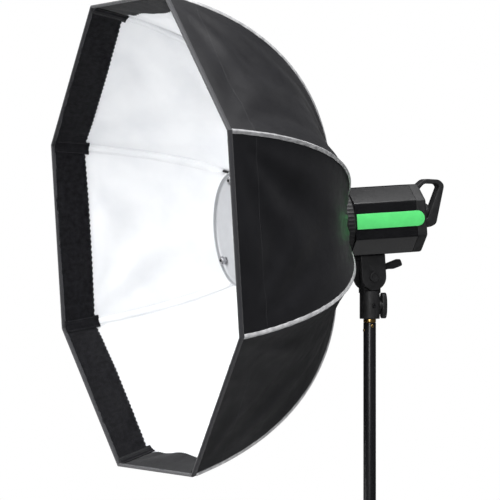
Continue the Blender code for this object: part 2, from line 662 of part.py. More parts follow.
def seam(share):
    """Radius and forward distance of the cloth's seam, from the hub (0) to the front edge (1)."""
    a, b, c, d = map(Vector, (SEAM_START, SEAM_START_PULL, SEAM_END_PULL, (RIM_RADIUS, RIM_FORWARD)))
    rest = 1 - share
    return a * rest ** 3 + b * 3 * rest ** 2 * share + c * 3 * rest * share ** 2 + d * share ** 3


def seam_inside(share, depth):
    """The seam moved inwards, square to itself."""
    step = 1e-4
    along = seam(min(share + step, 1)) - seam(max(share - step, 0))
    along.normalize()
    return seam(share) + Vector((-along.y, along.x)) * depth


ROD_DEPTH = CLOTH + ROD_GAP + ROD_RADIUS
PIN_RADIUS, PIN_FORWARD = seam_inside(0, ROD_DEPTH)
PITCH = 2 * math.pi / SIDES
FIRST_RIB = PITCH / 2
HUB_BACK = SPEED_RING_LENGTH + 2 * CLEARANCE
HUB_FRONT = HUB_BACK + HUB_LENGTH
COLLAR_INSIDE = HUB_RADIUS + 2 * CLEARANCE
COLLAR_OUTSIDE = COLLAR_INSIDE + COLLAR
# The middle of a gore's first edge clears the collar
CLOTH_FROM = (COLLAR_OUTSIDE + 0.001) / (math.cos(PITCH / 2) - 2 * math.sin(PITCH / 2) * CLOTH_SAG)


def speed_ring(ring):
    rim = turned("speed_ring", [
        (NECK_RADIUS + RUNNING, 0), (SPEED_RING_RADIUS - 0.001, 0), (SPEED_RING_RADIUS, 0.001),
        (SPEED_RING_RADIUS, SPEED_RING_LENGTH - 0.005), (SPEED_RING_RADIUS - 0.004, SPEED_RING_LENGTH),
        (NECK_RADIUS + RUNNING, SPEED_RING_LENGTH)], 40)
    place(rim, BLACK_ALLOY, ring)


def hub(ring):
    """The folding hub: eight slots hold the ribs' eyes, and one wire ring runs through them all."""
    body = turned("folding_hub", [
        (HUB_OPENING, HUB_BACK), (HUB_RADIUS - 0.006, HUB_BACK), (HUB_RADIUS, HUB_BACK + 0.004),
        (HUB_RADIUS, HUB_FRONT - 0.001), (HUB_RADIUS - 0.001, HUB_FRONT), (HUB_OPENING, HUB_FRONT)], 40)
    floor = PIN_FORWARD - EYE_RADIUS - SLOT_ROOM
    slot_from = PIN_RADIUS - EYE_RADIUS - SLOT_ROOM
    for k in range(SIDES):
        slot_to = (HUB_RADIUS + 0.01, SLOT_WIDTH / 2, HUB_FRONT + 0.01)
        slot = box("slot", (slot_from, -SLOT_WIDTH / 2, floor), slot_to)
        slot.data.transform(Matrix.Rotation(FIRST_RIB + k * PITCH, 4, "Z"))
        cut(body, slot)
    groove = HINGE_WIRE + CLEARANCE
    outer, inner = (PIN_RADIUS + groove) / math.cos(PITCH / 2), (PIN_RADIUS - groove) / math.cos(PITCH / 2)
    channel = turned("channel", [
        (inner, PIN_FORWARD - groove), (outer, PIN_FORWARD - groove), (outer, HUB_FRONT + 0.01),
        (inner, HUB_FRONT + 0.01)], SIDES)
    cut(body, channel)
    for angle in POST_ANGLES:
        a = math.radians(angle)
        foot = (POST_ROOT_CIRCLE * math.cos(a), POST_ROOT_CIRCLE * math.sin(a))
        cut(body, rod("post_hole", (*foot, HUB_FRONT - 0.008), (*foot, HUB_FRONT + 0.01),
                      POST_RADIUS + CLEARANCE))
    place(body, BLACK_PLASTIC, ring)
    corner = PIN_RADIUS / math.cos(PITCH / 2)
    loop = [(corner * math.cos(a), corner * math.sin(a), PIN_FORWARD) for a in full_turn(SIDES)]
    place(wire("hinge_wire", loop, HINGE_WIRE, 1, closed=True), STEEL, ring)


def rib_shape():
    """One rib about its own hinge: x outwards, y along the hinge, z forwards."""
    steps = 12
    first = 0.035
    tip = 0.985
    line = [seam_inside(first + (tip - first) * k / steps, ROD_DEPTH) - Vector((PIN_RADIUS, PIN_FORWARD))
            for k in range(steps + 1)]
    line = [Vector((EYE_RADIUS * 0.5, 0.0))] + line
    sides = 6
    points, faces = [], []
    for k, at in enumerate(line):
        along = (line[min(k + 1, len(line) - 1)] - line[max(k - 1, 0)]).normalized()
        across = Vector((-along.y, along.x))
        for a in full_turn(sides):
            offset = across * math.cos(a) * ROD_RADIUS
            points.append((at.x + offset.x, math.sin(a) * ROD_RADIUS, at.y + offset.y))
    for k in range(len(line) - 1):
        for s in range(sides):
            t = (s + 1) % sides
            faces.append([k * sides + s, k * sides + t, (k + 1) * sides + t, (k + 1) * sides + s])
    faces += [list(range(sides)), list(range(len(points) - sides, len(points)))]
    rib = mesh_object("rib", points, faces)
    half = EYE_WIDTH / 2
    unite(rib, rod("eye", (0, -half, 0), (0, half, 0), EYE_RADIUS, 12))
    cut(rib, rod("eye_hole", (0, -0.01, 0), (0, 0.01, 0), HINGE_WIRE + RUNNING, 8))
    return rib


def share_at(radius):
    """Where the seam reaches a radius, found by halving."""
    low, high = 0.0, 1.0
    for _ in range(40):
        middle = (low + high) / 2
        low, high = (middle, high) if seam(middle).x < radius else (low, middle)
    return low


def gore_shape():
    """One gore in its first rib's hinge frame. It is sewn to that rib and to the next one round."""
    rows, columns = 10, 4
    start = share_at(CLOTH_FROM)
    points, faces = [], []
    for depth in (0, CLOTH):
        for row in range(rows + 1):
            radius, forward = seam_inside(start + (1 - start) * row / rows, depth)
            near = Vector((radius, 0.0))
            far = Vector((radius * math.cos(PITCH), radius * math.sin(PITCH)))
            width = (far - near).length
            chord = (far - near) / width
            bow = CLOTH_SAG * (1 - (row / rows) ** 3)
            inwards = -(near + far).normalized()
            for column in range(columns + 1):
                share = column / columns
                at = near + chord * (SEAM_GAP + (width - 2 * SEAM_GAP) * share)
                at += inwards * bow * width * math.sin(math.pi * share)
                points.append((at.x - PIN_RADIUS, at.y, forward - PIN_FORWARD))
    wide = columns + 1
    layer = wide * (rows + 1)
    for row in range(rows):
        for column in range(columns):
            k = row * wide + column
            faces.append([k, k + 1, k + wide + 1, k + wide])
            faces.append([layer + n for n in (k, k + wide, k + wide + 1, k + 1)])
    edge = list(range(wide)) + [row * wide + columns for row in range(1, rows + 1)]
    edge += [rows * wide + column for column in range(columns - 1, -1, -1)]
    edge += [row * wide for row in range(rows - 1, 0, -1)]
    faces += [[a, b, b + layer, a + layer] for a, b in zip(edge, edge[1:] + edge[:1])]
    return mesh_object("gore", points, faces)


def canopy(ring):
    rib, gore = rib_shape(), gore_shape()
    for k in range(SIDES):
        angle = FIRST_RIB + k * PITCH
        hinge = (PIN_RADIUS * math.cos(angle), PIN_RADIUS * math.sin(angle), PIN_FORWARD)
        fold = axis(f"fold_axis_{k + 1}", ring, hinge, (0, 0, angle))
        for shape, finish, name in ((rib, STEEL, "rib"), (gore, CLOTH_BLACK, "gore")):
            made = bpy.data.objects.new(f"{name}_{k + 1}", shape.data)
            bpy.context.scene.collection.objects.link(made)
            place(made, finish, fold)
    bpy.data.objects.remove(rib)
    bpy.data.objects.remove(gore)


def collar(ring):
    """The elastic edge of the cloth, which grips the hub behind the ribs."""
    edge = turned("cloth_collar", [
        (COLLAR_INSIDE, HUB_BACK + 0.0005), (COLLAR_OUTSIDE, HUB_BACK + 0.0005),
        (COLLAR_OUTSIDE, SEAM_START[1] - 0.001), (COLLAR_INSIDE, SEAM_START[1] - 0.001)], 40)
    place(edge, CLOTH_BLACK, ring)


def deflector(ring):
    back = DISH_FORWARD
    dish = turned("deflector_dish", [
        (0, back), (DISH_RADIUS - 0.006, back), (DISH_RADIUS - 0.0015, back + 0.001),
        (DISH_RADIUS, back + DISH_LIP),
        (DISH_RADIUS - DISH_SHEET, back + DISH_LIP), (DISH_RADIUS - 0.0035, back + 0.001 + DISH_SHEET),
        (DISH_RADIUS - 0.0065, back + DISH_SHEET), (0, back + DISH_SHEET)], 40)
    for k, angle in enumerate(POST_ANGLES):
        a = math.radians(angle)
        way = Vector((math.cos(a), math.sin(a)))
        foot, head = way * POST_ROOT_CIRCLE, way * POST_CIRCLE
        cut(dish, rod("stud_hole", (*head, back - 0.01), (*head, back + 0.01), STUD_RADIUS + CLEARANCE,
                      12))
        post_points = [
            (*foot, HUB_FRONT - 0.0075), (*foot, HUB_FRONT + 0.010),
            (*(foot * 0.93 + head * 0.07), HUB_FRONT + 0.016), (*(foot * 0.05 + head * 0.95), back - 0.026),
            (*head, back - 0.018), (*head, back - CLEARANCE)]
        post = turned_along(f"deflector_post_{k + 1}", post_points)
        stud_end = back + DISH_SHEET + 0.002 + NUT_LENGTH
        unite(post, rod("stud", (*head, back - 0.004), (*head, stud_end), STUD_RADIUS, 12))
        place(post, STEEL, ring)
        nut_from = back + DISH_SHEET + CLEARANCE
        nut = turned(f"deflector_nut_{k + 1}", [
            (STUD_RADIUS + RUNNING, 0), (NUT_RADIUS * 0.8, 0), (NUT_RADIUS, 0.0025),
            (NUT_RADIUS, NUT_LENGTH - 0.001), (NUT_RADIUS - 0.001, NUT_LENGTH),
            (STUD_RADIUS + RUNNING, NUT_LENGTH)], 20)
        place(nut, ALUMINIUM, axis(f"nut_axis_{k + 1}", ring, (*head, nut_from)))
    place(dish, WHITE_METAL, ring)


def turned_along(name, points):
    """A bent round bar as a mesh, so that it can be joined to other shapes."""
    curve = wire(name + "_line", points, POST_RADIUS)
    mesh = bpy.data.meshes.new_from_object(curve.evaluated_get(bpy.context.evaluated_depsgraph_get()))
    bpy.data.objects.remove(curve)
    shape = bmesh.new()
    shape.from_mesh(mesh)
    bmesh.ops.remove_doubles(shape, verts=shape.verts, dist=1e-6)
    bmesh.ops.recalc_face_normals(shape, faces=shape.faces)
    shape.to_mesh(mesh)
    shape.free()
    made = bpy.data.objects.new(name, mesh)
    bpy.context.scene.collection.objects.link(made)
    return made


def build():
    riser()
    pan = axis("pan_axis", None, (0, 0, 0))
    swivel(pan)
    tilt = axis("tilt_axis", pan, (0, 0, TILT_HEIGHT), (NOSE_DOWN, 0, 0))
    tilt_bracket(tilt)
    head = axis("head_axis", tilt, (0, -FLANGE_FORWARD, AXIS_RISE), (math.pi / 2, 0, 0))
    casing(head)
    rear_cap(head)
    rear_controls(head)
    handle(head)
    lamps(head)
    electronics(head)
    ring = axis("ring_axis", head, (0, 0, 0))
    speed_ring(ring)
    hub(ring)
    collar(ring)
    deflector(ring)
    canopy(ring)


build()
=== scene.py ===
import json
import math

import bmesh
import bpy
from mathutils import Matrix, Vector, noise

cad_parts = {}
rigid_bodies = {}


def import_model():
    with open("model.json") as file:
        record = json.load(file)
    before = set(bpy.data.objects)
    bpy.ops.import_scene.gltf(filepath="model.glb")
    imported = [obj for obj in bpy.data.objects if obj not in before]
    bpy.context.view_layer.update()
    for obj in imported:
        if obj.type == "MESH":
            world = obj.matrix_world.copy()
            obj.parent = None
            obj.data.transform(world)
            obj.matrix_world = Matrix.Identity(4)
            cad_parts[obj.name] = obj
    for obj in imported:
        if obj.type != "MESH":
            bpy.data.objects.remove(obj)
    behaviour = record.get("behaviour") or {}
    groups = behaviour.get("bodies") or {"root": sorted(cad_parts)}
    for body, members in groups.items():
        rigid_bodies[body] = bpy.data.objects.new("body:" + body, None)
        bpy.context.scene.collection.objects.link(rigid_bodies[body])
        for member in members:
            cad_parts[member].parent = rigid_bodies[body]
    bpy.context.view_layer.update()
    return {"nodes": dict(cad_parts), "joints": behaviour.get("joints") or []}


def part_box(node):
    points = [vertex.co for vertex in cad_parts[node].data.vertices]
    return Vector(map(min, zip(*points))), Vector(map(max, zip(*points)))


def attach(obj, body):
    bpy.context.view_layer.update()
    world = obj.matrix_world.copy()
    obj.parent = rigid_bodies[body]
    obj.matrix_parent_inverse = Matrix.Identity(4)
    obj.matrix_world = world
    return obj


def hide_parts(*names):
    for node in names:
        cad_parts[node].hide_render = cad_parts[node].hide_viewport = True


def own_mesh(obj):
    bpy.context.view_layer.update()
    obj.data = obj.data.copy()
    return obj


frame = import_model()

for startup in [thing for thing in bpy.data.objects if thing.name in ("Cube", "Camera", "Light")]:
    bpy.data.objects.remove(startup)

# ---- The studio --------------------------------------------------------------
# A long lens looks across the light from its right side. The room is white, with a big soft light over the
# canopy, another in front of its mouth, and a low strip that draws the lower edge of the flash head.
CAMERA_TURN, CAMERA_LIFT = math.radians(66.284), math.radians(-0.119)
CAMERA_AWAY, CAMERA_ASIDE, CAMERA_BELOW = 6.017, 0.1857, 0.0242
MOUTH_CENTRE = Vector((0, -0.430327, 0.612196))
back = Vector((math.sin(CAMERA_TURN) * math.cos(CAMERA_LIFT), -math.cos(CAMERA_TURN) * math.cos(CAMERA_LIFT),
               math.sin(CAMERA_LIFT)))
right = Vector((math.cos(CAMERA_TURN), math.sin(CAMERA_TURN), 0))
above = back.cross(right)
lens = bpy.data.cameras.new("studio_camera")
lens.lens, lens.sensor_width = 256.0, 36.0
camera = bpy.data.objects.new("studio_camera", lens)
bpy.context.scene.collection.objects.link(camera)
stand_at = MOUTH_CENTRE + back * CAMERA_AWAY + right * CAMERA_ASIDE - above * CAMERA_BELOW
camera.matrix_world = Matrix.Translation(stand_at) @ Matrix((right, above, back)).transposed().to_4x4()
bpy.context.scene.camera = camera
bpy.context.scene.view_settings.view_transform = "Standard"

room = bpy.data.worlds.new("white_room")
room.use_nodes = True
bpy.context.scene.world = room
links, nodes = room.node_tree.links, room.node_tree.nodes
nodes.clear()
seen = nodes.new("ShaderNodeBackground")
seen.inputs["Color"].default_value, seen.inputs["Strength"].default_value = (1, 1, 1, 1), 1.0
felt = nodes.new("ShaderNodeBackground")
felt.inputs["Color"].default_value, felt.inputs["Strength"].default_value = (0.94, 0.96, 1, 1), 0.06
which = nodes.new("ShaderNodeLightPath")
either = nodes.new("ShaderNodeMixShader")
out = nodes.new("ShaderNodeOutputWorld")
links.new(which.outputs["Is Camera Ray"], either.inputs[0])
links.new(felt.outputs[0], either.inputs[1])
links.new(seen.outputs[0], either.inputs[2])
links.new(either.outputs[0], out.inputs[0])


def studio_light(name, at, towards, size, watts):
    lamp = bpy.data.lights.new(name, "AREA")
    lamp.shape, lamp.size, lamp.size_y, lamp.energy = "RECTANGLE", size[0], size[1], watts
    made = bpy.data.objects.new(name, lamp)
    bpy.context.scene.collection.objects.link(made)
    made.location = at
    made.rotation_euler = (Vector(towards) - Vector(at)).to_track_quat("-Z", "Y").to_euler()
    made.visible_camera = False


studio_light("overhead_bank", (0.9, -0.3, 2.7), (0, -0.1, 0.6), (2.2, 1.6), 100)
studio_light("mouth_bank", (-1.6, -4.2, 1.5), (0, -0.2, 0.6), (2.4, 2.4), 235)
studio_light("near_fill", (4.6, -2.6, 1.4), (0, -0.1, 0.6), (1.6, 1.6), 95)
studio_light("side_bank", (3.2, 2.6, 2.6), (0, 0, 0.6), (0.7, 1.4), 4)
studio_light("top_strip", (0.1, 1.0, 2.5), (0, 0.1, 0.66), (1.3, 0.6), 2.2)
studio_light("low_strip", (0.1, 0.5, -0.35), (0, 0.05, 0.62), (0.8, 0.4), 0.42)

floor_mesh = bpy.data.meshes.new("studio_floor")
FLOOR_RADIUS, FLOOR_LEVEL, FLOOR_SIDES = 1.2, -0.0005, 96
rim = [(FLOOR_RADIUS * math.cos(turn), FLOOR_RADIUS * math.sin(turn), FLOOR_LEVEL)
       for turn in (math.tau * k / FLOOR_SIDES for k in range(FLOOR_SIDES))]
floor_mesh.from_pydata(rim, [], [list(range(FLOOR_SIDES))])
floor = bpy.data.objects.new("studio_floor", floor_mesh)
bpy.context.scene.collection.objects.link(floor)
floor_paint = bpy.data.materials.new("floor_paint")
floor_paint.use_nodes = True
paint_shader = floor_paint.node_tree.nodes["Principled BSDF"]
paint_shader.inputs["Base Color"].default_value = (0.9, 0.9, 0.9, 1)
paint_shader.inputs["Roughness"].default_value = 0.9
floor_mesh.materials.append(floor_paint)
floor.visible_glossy = floor.visible_shadow = False

# ---- Stand riser -------------------------------------------------------------
# The top section of the light stand: 22 mm aluminium tube, drawn, bead blasted and anodised black. A moulded
# foot plug closes it below, and two brass rivets pin the shank of a turned brass spigot above.


def finish_kit(name, colour, roughness, metallic=0.0, coat=0.0, sheen=0.0, specular=0.5):
    """Starts a finish: its shader with the values that are the same all over, and its node tree."""
    made = bpy.data.materials.new(name)
    made.use_nodes = True
    shader = made.node_tree.nodes["Principled BSDF"]
    for socket, value in (("Base Color", (*colour, 1)), ("Roughness", roughness), ("Metallic", metallic),
                          ("Coat Weight", coat), ("Coat Roughness", 0.12), ("Sheen Weight", sheen),
                          ("Sheen Roughness", 0.45), ("Specular IOR Level", specular)):
        shader.inputs[socket].default_value = value
    return made, made.node_tree, shader


def node(tree, kind, **settings):
    """Adds a node. A setting named after a socket fills or links that socket, and any other sets the node."""
    made = tree.nodes.new(kind)
    for key, value in settings.items():
        if key.startswith("to_"):
            label = key[3:]
            socket = made.inputs[int(label) if label.isdigit() else label.replace("_", " ")]
            if isinstance(value, bpy.types.NodeSocket):
                tree.links.new(value, socket)
            else:
                socket.default_value = value
        else:
            setattr(made, key, value)
    return made


def patch(tree, coordinates, scale, low, high, detail=4.0, stretch=(1, 1, 1)):
    """Cloudy variation between two values, stretched along an axis where the making leaves streaks."""
    placed = node(tree, "ShaderNodeMapping", to_Vector=coordinates, to_Scale=stretch)
    cloud = node(tree, "ShaderNodeTexNoise", to_Vector=placed.outputs[0], to_Scale=scale, to_Detail=detail)
    return node(tree, "ShaderNodeMapRange", to_Value=cloud.outputs[0], to_1=0.3, to_2=0.7, to_3=low,
                to_4=high).outputs[0]


def shade(tree, amount, dark, light):
    """A colour between two, by an amount from 0 to 1."""
    return node(tree, "ShaderNodeMix", data_type="RGBA", to_0=amount, to_6=(*dark, 1),
                to_7=(*light, 1)).outputs[2]


def raise_grain(tree, shader, height, strength, depth):
    bump = node(tree, "ShaderNodeBump", to_Strength=strength, to_Distance=depth, to_Height=height)
    tree.links.new(bump.outputs[0], shader.inputs["Normal"])


def hard_finish(name, colour, roughness, metallic=0.0, coat=0.0, grain=1800.0, depth=0.00006,
                streaks=(1, 1, 1), spread=0.25, specular=0.5):
    """A paint, plating or moulding: mottled in tone, uneven in gloss and raised in a fine grain."""
    made, tree, shader = finish_kit(name, colour, roughness, metallic, coat, 0.0, specular)
    here = node(tree, "ShaderNodeTexCoord").outputs["Object"]
    tone = patch(tree, here, 60, 0.0, 1.0, stretch=streaks)
    dark, light = [c * (1 - spread) for c in colour], [min(c * (1 + spread) + 0.002, 1) for c in colour]
    tree.links.new(shade(tree, tone, dark, light), shader.inputs["Base Color"])
    gloss = patch(tree, here, 140, max(roughness - 0.3 * spread, 0.02), roughness + 0.36 * spread,
                  stretch=streaks)
    tree.links.new(gloss, shader.inputs["Roughness"])
    speck = node(tree, "ShaderNodeMapping", to_Vector=here, to_Scale=streaks)
    fine = node(tree, "ShaderNodeTexNoise", to_Vector=speck.outputs[0], to_Scale=grain, to_Detail=2.0)
    raise_grain(tree, shader, fine.outputs[0], 0.5, depth)
    return made


def closed_mesh(name, points, faces):
    """A mesh with its doubled points merged and every face turned outwards."""
    mesh = bpy.data.meshes.new(name)
    mesh.from_pydata([tuple(p) for p in points], [], faces)
    shape = bmesh.new()
    shape.from_mesh(mesh)
    bmesh.ops.remove_doubles(shape, verts=shape.verts, dist=1e-6)
    bmesh.ops.recalc_face_normals(shape, faces=shape.faces)
    shape.to_mesh(mesh)
    shape.free()
    return mesh


def new_piece(name, points, faces, finish, body, crisp=32):
    """A closed piece from its points and faces, shaded smooth up to an angle, that moves with a body."""
    return dress(name, closed_mesh(name, points, faces), finish, body, crisp)


def dress(name, mesh, finish, body, crisp=32):
    mesh.materials.clear()
    mesh.materials.append(finish)
    for face in mesh.polygons:
        face.material_index = 0
    mesh.shade_smooth()
    mesh.set_sharp_from_angle(angle=math.radians(crisp))
    made = bpy.data.objects.new(name, mesh)
    bpy.context.scene.collection.objects.link(made)
    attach(made, body)
    return made


def round_corner(here, before, after, radius, steps):
    """Points of a curve that rounds a corner, given the ways from it to the points before and after it."""
    reach = min(radius, before.length * 0.45, after.length * 0.45)
    start, end = here + before.normalized() * reach, here + after.normalized() * reach
    return [start * (1 - t) ** 2 + here * 2 * t * (1 - t) + end * t * t for t in
            (step / steps for step in range(steps + 1))]


def eased(profile, radius, steps=4):
    """A turned profile whose corners are rounded by a radius. Points on the axis stay where they are."""
    made = []
    for k, corner in enumerate(profile):
        here = Vector(corner)
        before, after = Vector(profile[k - 1]) - here, Vector(profile[(k + 1) % len(profile)]) - here
        straight = here.x < 1e-6 or before.angle(after) > 3.1
        made += [here] if straight else round_corner(here, before, after, radius, steps)
    return made


def turned(profile, placing, sides=72):
    """Points and faces of a profile of (radius, height) turned about an axis that a matrix places."""
    points, rings, faces = [], [], []
    for radius, height in profile:
        count = sides if radius > 1e-6 else 1
        rings.append([len(points) + k for k in range(count)])
        points += [placing @ Vector((radius * math.cos(turn), radius * math.sin(turn), height))
                   for turn in (math.tau * k / sides for k in range(count))]
    for near, far in zip(rings, rings[1:] + rings[:1]):
        for k in range(sides):
            ring = [near[k % len(near)], near[(k + 1) % sides % len(near)], far[(k + 1) % sides % len(far)],
                    far[k % len(far)]]
            ring = list(dict.fromkeys(ring))
            if len(ring) > 2:
                faces.append(ring)
    return points, faces


def low_high(name):
    low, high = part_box(name)
    return Vector(low), Vector(high)


tube_low, tube_high = low_high("riser_tube")
tube_radius, tube_wall = tube_high.x, 0.0015
anodised = hard_finish("black_anodised_tube", (0.013, 0.013, 0.015), 0.3, 0.35, grain=900,
                       streaks=(1, 1, 0.04))
upright = Matrix.Identity(4)
points, faces = turned(eased([(tube_radius - tube_wall, tube_low.z), (tube_radius, tube_low.z),
                              (tube_radius, tube_high.z), (tube_radius - tube_wall, tube_high.z)], 0.0004),
                       upright)
riser = new_piece("stand_riser", points, faces, anodised, "stand")
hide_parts("riser_tube")

foot_high = low_high("riser_foot_plug")[1]
foot_rubber = hard_finish("foot_plug_moulding", (0.016, 0.016, 0.017), 0.62, grain=1400, depth=0.0001)
ribbed = [(0, 0), (foot_high.x - 0.001, 0), (foot_high.x, 0.001)]
for ridge in range(4):
    ribbed += [(foot_high.x, 0.0025 + ridge * 0.0021), (foot_high.x - 0.0005, 0.0029 + ridge * 0.0021),
               (foot_high.x - 0.0005, 0.0036 + ridge * 0.0021), (foot_high.x, 0.0040 + ridge * 0.0021)]
ribbed += [(foot_high.x - 0.0008, tube_low.z - 0.0003), (tube_radius - 0.0018, tube_low.z - 0.0003),
           (tube_radius - 0.0018, foot_high.z - 0.002), (tube_radius - 0.0038, foot_high.z), (0, foot_high.z)]
points, faces = turned(ribbed, upright)
foot = new_piece("ribbed_foot_plug", points, faces, foot_rubber, "stand")
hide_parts("riser_foot_plug")

brass = hard_finish("turned_brass", (0.62, 0.40, 0.15), 0.27, 1.0, grain=1500, depth=0.00004,
                    streaks=(1, 1, 12), spread=0.18)
spigot_low, spigot_high = low_high("brass_spigot")
shank, neck = tube_radius - 0.0018, 0.008
collar_top = tube_high.z + 0.0063
WAIST_LOW, WAIST_HIGH, WAIST_DEEP = 0.4871, 0.4961, 0.0015
waist = [(neck, WAIST_LOW), (neck - WAIST_DEEP, WAIST_LOW + WAIST_DEEP),
         (neck - WAIST_DEEP, WAIST_HIGH - WAIST_DEEP), (neck, WAIST_HIGH)]
points, faces = turned(eased([(0, spigot_low.z), (shank, spigot_low.z), (shank, tube_high.z + 0.0003),
                              (tube_radius, tube_high.z + 0.0003), (tube_radius, collar_top),
                              (neck, collar_top)]
                             + waist + [(neck, spigot_high.z - 0.002), (neck - 0.002, spigot_high.z),
                                        (0, spigot_high.z)], 0.0005), upright)
spigot = new_piece("turned_spigot", points, faces, brass, "stand")
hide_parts("brass_spigot")


def repeating_tree(name, sizes):
    """An empty tree for a shape that repeats, with its named sizes and a finish, and what it is given."""
    tree = bpy.data.node_groups.new(name, "GeometryNodeTree")
    face = tree.interface
    face.new_socket("Geometry", in_out="INPUT", socket_type="NodeSocketGeometry")
    for label in sizes:
        face.new_socket(label, in_out="INPUT", socket_type="NodeSocketFloat")
    face.new_socket("Finish", in_out="INPUT", socket_type="NodeSocketMaterial")
    face.new_socket("Geometry", in_out="OUTPUT", socket_type="NodeSocketGeometry")
    return tree, tree.nodes.new("NodeGroupInput").outputs


def seated(tree, given, shape):
    """Ends a tree: the shape at every seat, turned so that its own Z follows the seat's way."""
    at_points = node(tree, "GeometryNodeInstanceOnPoints", to_Points=given["Geometry"], to_Instance=shape)
    ways = node(tree, "GeometryNodeInputNamedAttribute", data_type="FLOAT_VECTOR", to_Name="way").outputs[0]
    turn = node(tree, "FunctionNodeAlignRotationToVector", axis="Z", to_Vector=ways)
    tree.links.new(turn.outputs[0], at_points.inputs["Rotation"])
    real = node(tree, "GeometryNodeRealizeInstances", to_Geometry=at_points.outputs[0])
    coloured = node(tree, "GeometryNodeSetMaterial", to_Geometry=real.outputs[0], to_Material=given["Finish"])
    tree.links.new(coloured.outputs[0], tree.nodes.new("NodeGroupOutput").inputs[0])
    return tree


def domed_rivet():
    """One domed rivet: a shank, and a low dome for its head."""
    tree, given = repeating_tree("domed_rivet",
                                 ("Shank Radius", "Shank Length", "Head Radius", "Head Height"))
    stem = node(tree, "GeometryNodeMeshCylinder", to_Vertices=20, to_Radius=given["Shank Radius"],
                to_Depth=given["Shank Length"])
    half_up = node(tree, "ShaderNodeMath", operation="MULTIPLY", to_0=given["Shank Length"], to_1=0.5)
    rise = node(tree, "ShaderNodeCombineXYZ", to_Z=half_up.outputs[0])
    raised = node(tree, "GeometryNodeTransform", to_Geometry=stem.outputs[0], to_Translation=rise.outputs[0])
    dome = node(tree, "GeometryNodeMeshUVSphere", to_Segments=20, to_Rings=10, to_Radius=given["Head Radius"])
    flatter = node(tree, "ShaderNodeMath", operation="DIVIDE", to_0=given["Head Height"],
                   to_1=given["Head Radius"])
    squat = node(tree, "ShaderNodeCombineXYZ", to_X=1.0, to_Y=1.0, to_Z=flatter.outputs[0])
    seat = node(tree, "ShaderNodeCombineXYZ", to_Z=given["Shank Length"])
    capped = node(tree, "GeometryNodeTransform", to_Geometry=dome.outputs[0], to_Translation=seat.outputs[0],
                  to_Scale=squat.outputs[0])
    both = node(tree, "GeometryNodeJoinGeometry", to_0=raised.outputs[0])
    tree.links.new(capped.outputs[0], both.inputs[0])
    return seated(tree, given, both.outputs[0])


def repeated(name, tree, settings, seats, body, crisp=40):
    """Runs a repeating tree over seats, given as (place, way), and keeps the result as one plain mesh."""
    mesh = bpy.data.meshes.new(name + "_seats")
    mesh.from_pydata([tuple(at) for at, _ in seats], [], [])
    way = mesh.attributes.new("way", "FLOAT_VECTOR", "POINT")
    for entry, (_, towards) in zip(way.data, seats):
        entry.vector = towards
    made = bpy.data.objects.new(name, mesh)
    bpy.context.scene.collection.objects.link(made)
    step = made.modifiers.new(tree.name, "NODES")
    step.node_group = tree
    for item in tree.interface.items_tree:
        if item.in_out == "INPUT" and item.name in settings:
            step[item.identifier] = settings[item.name]
    bpy.context.view_layer.update()
    plain = bpy.data.meshes.new_from_object(made.evaluated_get(bpy.context.evaluated_depsgraph_get()))
    plain.name = name
    bpy.data.objects.remove(made)
    return dress(name, plain, settings["Finish"], body, crisp)


rivets = repeated("tube_rivets", domed_rivet(), {
    "Shank Radius": 0.0016, "Shank Length": 0.0017, "Head Radius": 0.0028, "Head Height": 0.0011,
    "Finish": brass,
}, [((tube_radius - 0.0014, 0, 0.456), (1, 0, 0)), ((0, -tube_radius + 0.0014, 0.4485), (0, -1, 0))], "stand")
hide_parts("rivet_side", "rivet_front")

# ---- Swivel socket and its clamp ---------------------------------------------
# A die-cast zinc socket, powder coated black, drops over the spigot. Its flat tongue stands up between the
# bracket's ears, and the paddle knob's screw bites the spigot's waist, so the light can't turn or lift off.
SOCKET_FOOT, SOCKET_TOP, TILT_HEIGHT = 0.4686, 0.5176, 0.5417
powder = hard_finish("black_powder_coat", (0.0125, 0.0125, 0.0135), 0.5, 0.0, grain=2600, depth=0.00016,
                     spread=0.3)
moulded = hard_finish("black_grip_moulding", (0.0135, 0.0135, 0.0145), 0.46, grain=2000, depth=0.0001,
                      specular=0.45)


def union_of(name, shapes, finish, body, cutters=(), edge=0.0006, crisp=35):
    """Joins closed shapes, given as (points, faces), cuts others out of them and rounds the new edges."""
    made = []
    for k, (points, faces) in enumerate(list(shapes) + list(cutters)):
        made.append(bpy.data.objects.new(f"{name}_{k}", closed_mesh(f"{name}_{k}", points, faces)))
        bpy.context.scene.collection.objects.link(made[-1])
    for k, other in enumerate(made[1:], 1):
        step = made[0].modifiers.new("join", "BOOLEAN")
        step.operation, step.solver, step.object = "UNION" if k < len(shapes) else "DIFFERENCE", "EXACT", other
    if edge:
        bevel = made[0].modifiers.new("eased_edges", "BEVEL")
        bevel.width, bevel.segments, bevel.limit_method = edge, 3, "ANGLE"
        bevel.angle_limit, bevel.use_clamp_overlap = math.radians(35), True
    bpy.context.view_layer.update()
    mesh = bpy.data.meshes.new_from_object(made[0].evaluated_get(bpy.context.evaluated_depsgraph_get()))
    mesh.name = name
    for part in made:
        bpy.data.objects.remove(part)
    return dress(name, mesh, finish, body, crisp)


def ring_faces_of(rings, count):
    """The faces of rings of points, count in each, joined one to the next and closed at both ends."""
    last = (rings - 1) * count
    return [list(range(count))[::-1], list(range(last, last + count))] + [
        [r * count + k, r * count + (k + 1) % count, (r + 1) * count + (k + 1) % count, (r + 1) * count + k]
        for r in range(rings - 1) for k in range(count)]


def slab(outline, low, high, placing):
    """An outline in x and y, given a thickness from low to high along z, and placed by a matrix."""
    points = [placing @ Vector((x, y, z)) for z in (low, high) for x, y in outline]
    return points, ring_faces_of(2, len(outline))


def smooth_outline(outline, radius, steps=6):
    """An outline with each corner turned into an arc. It is eased well away from the turning axis."""
    return [(p.x - 1, p.y) for p in eased([(x + 1, y) for x, y in outline], radius, steps)]


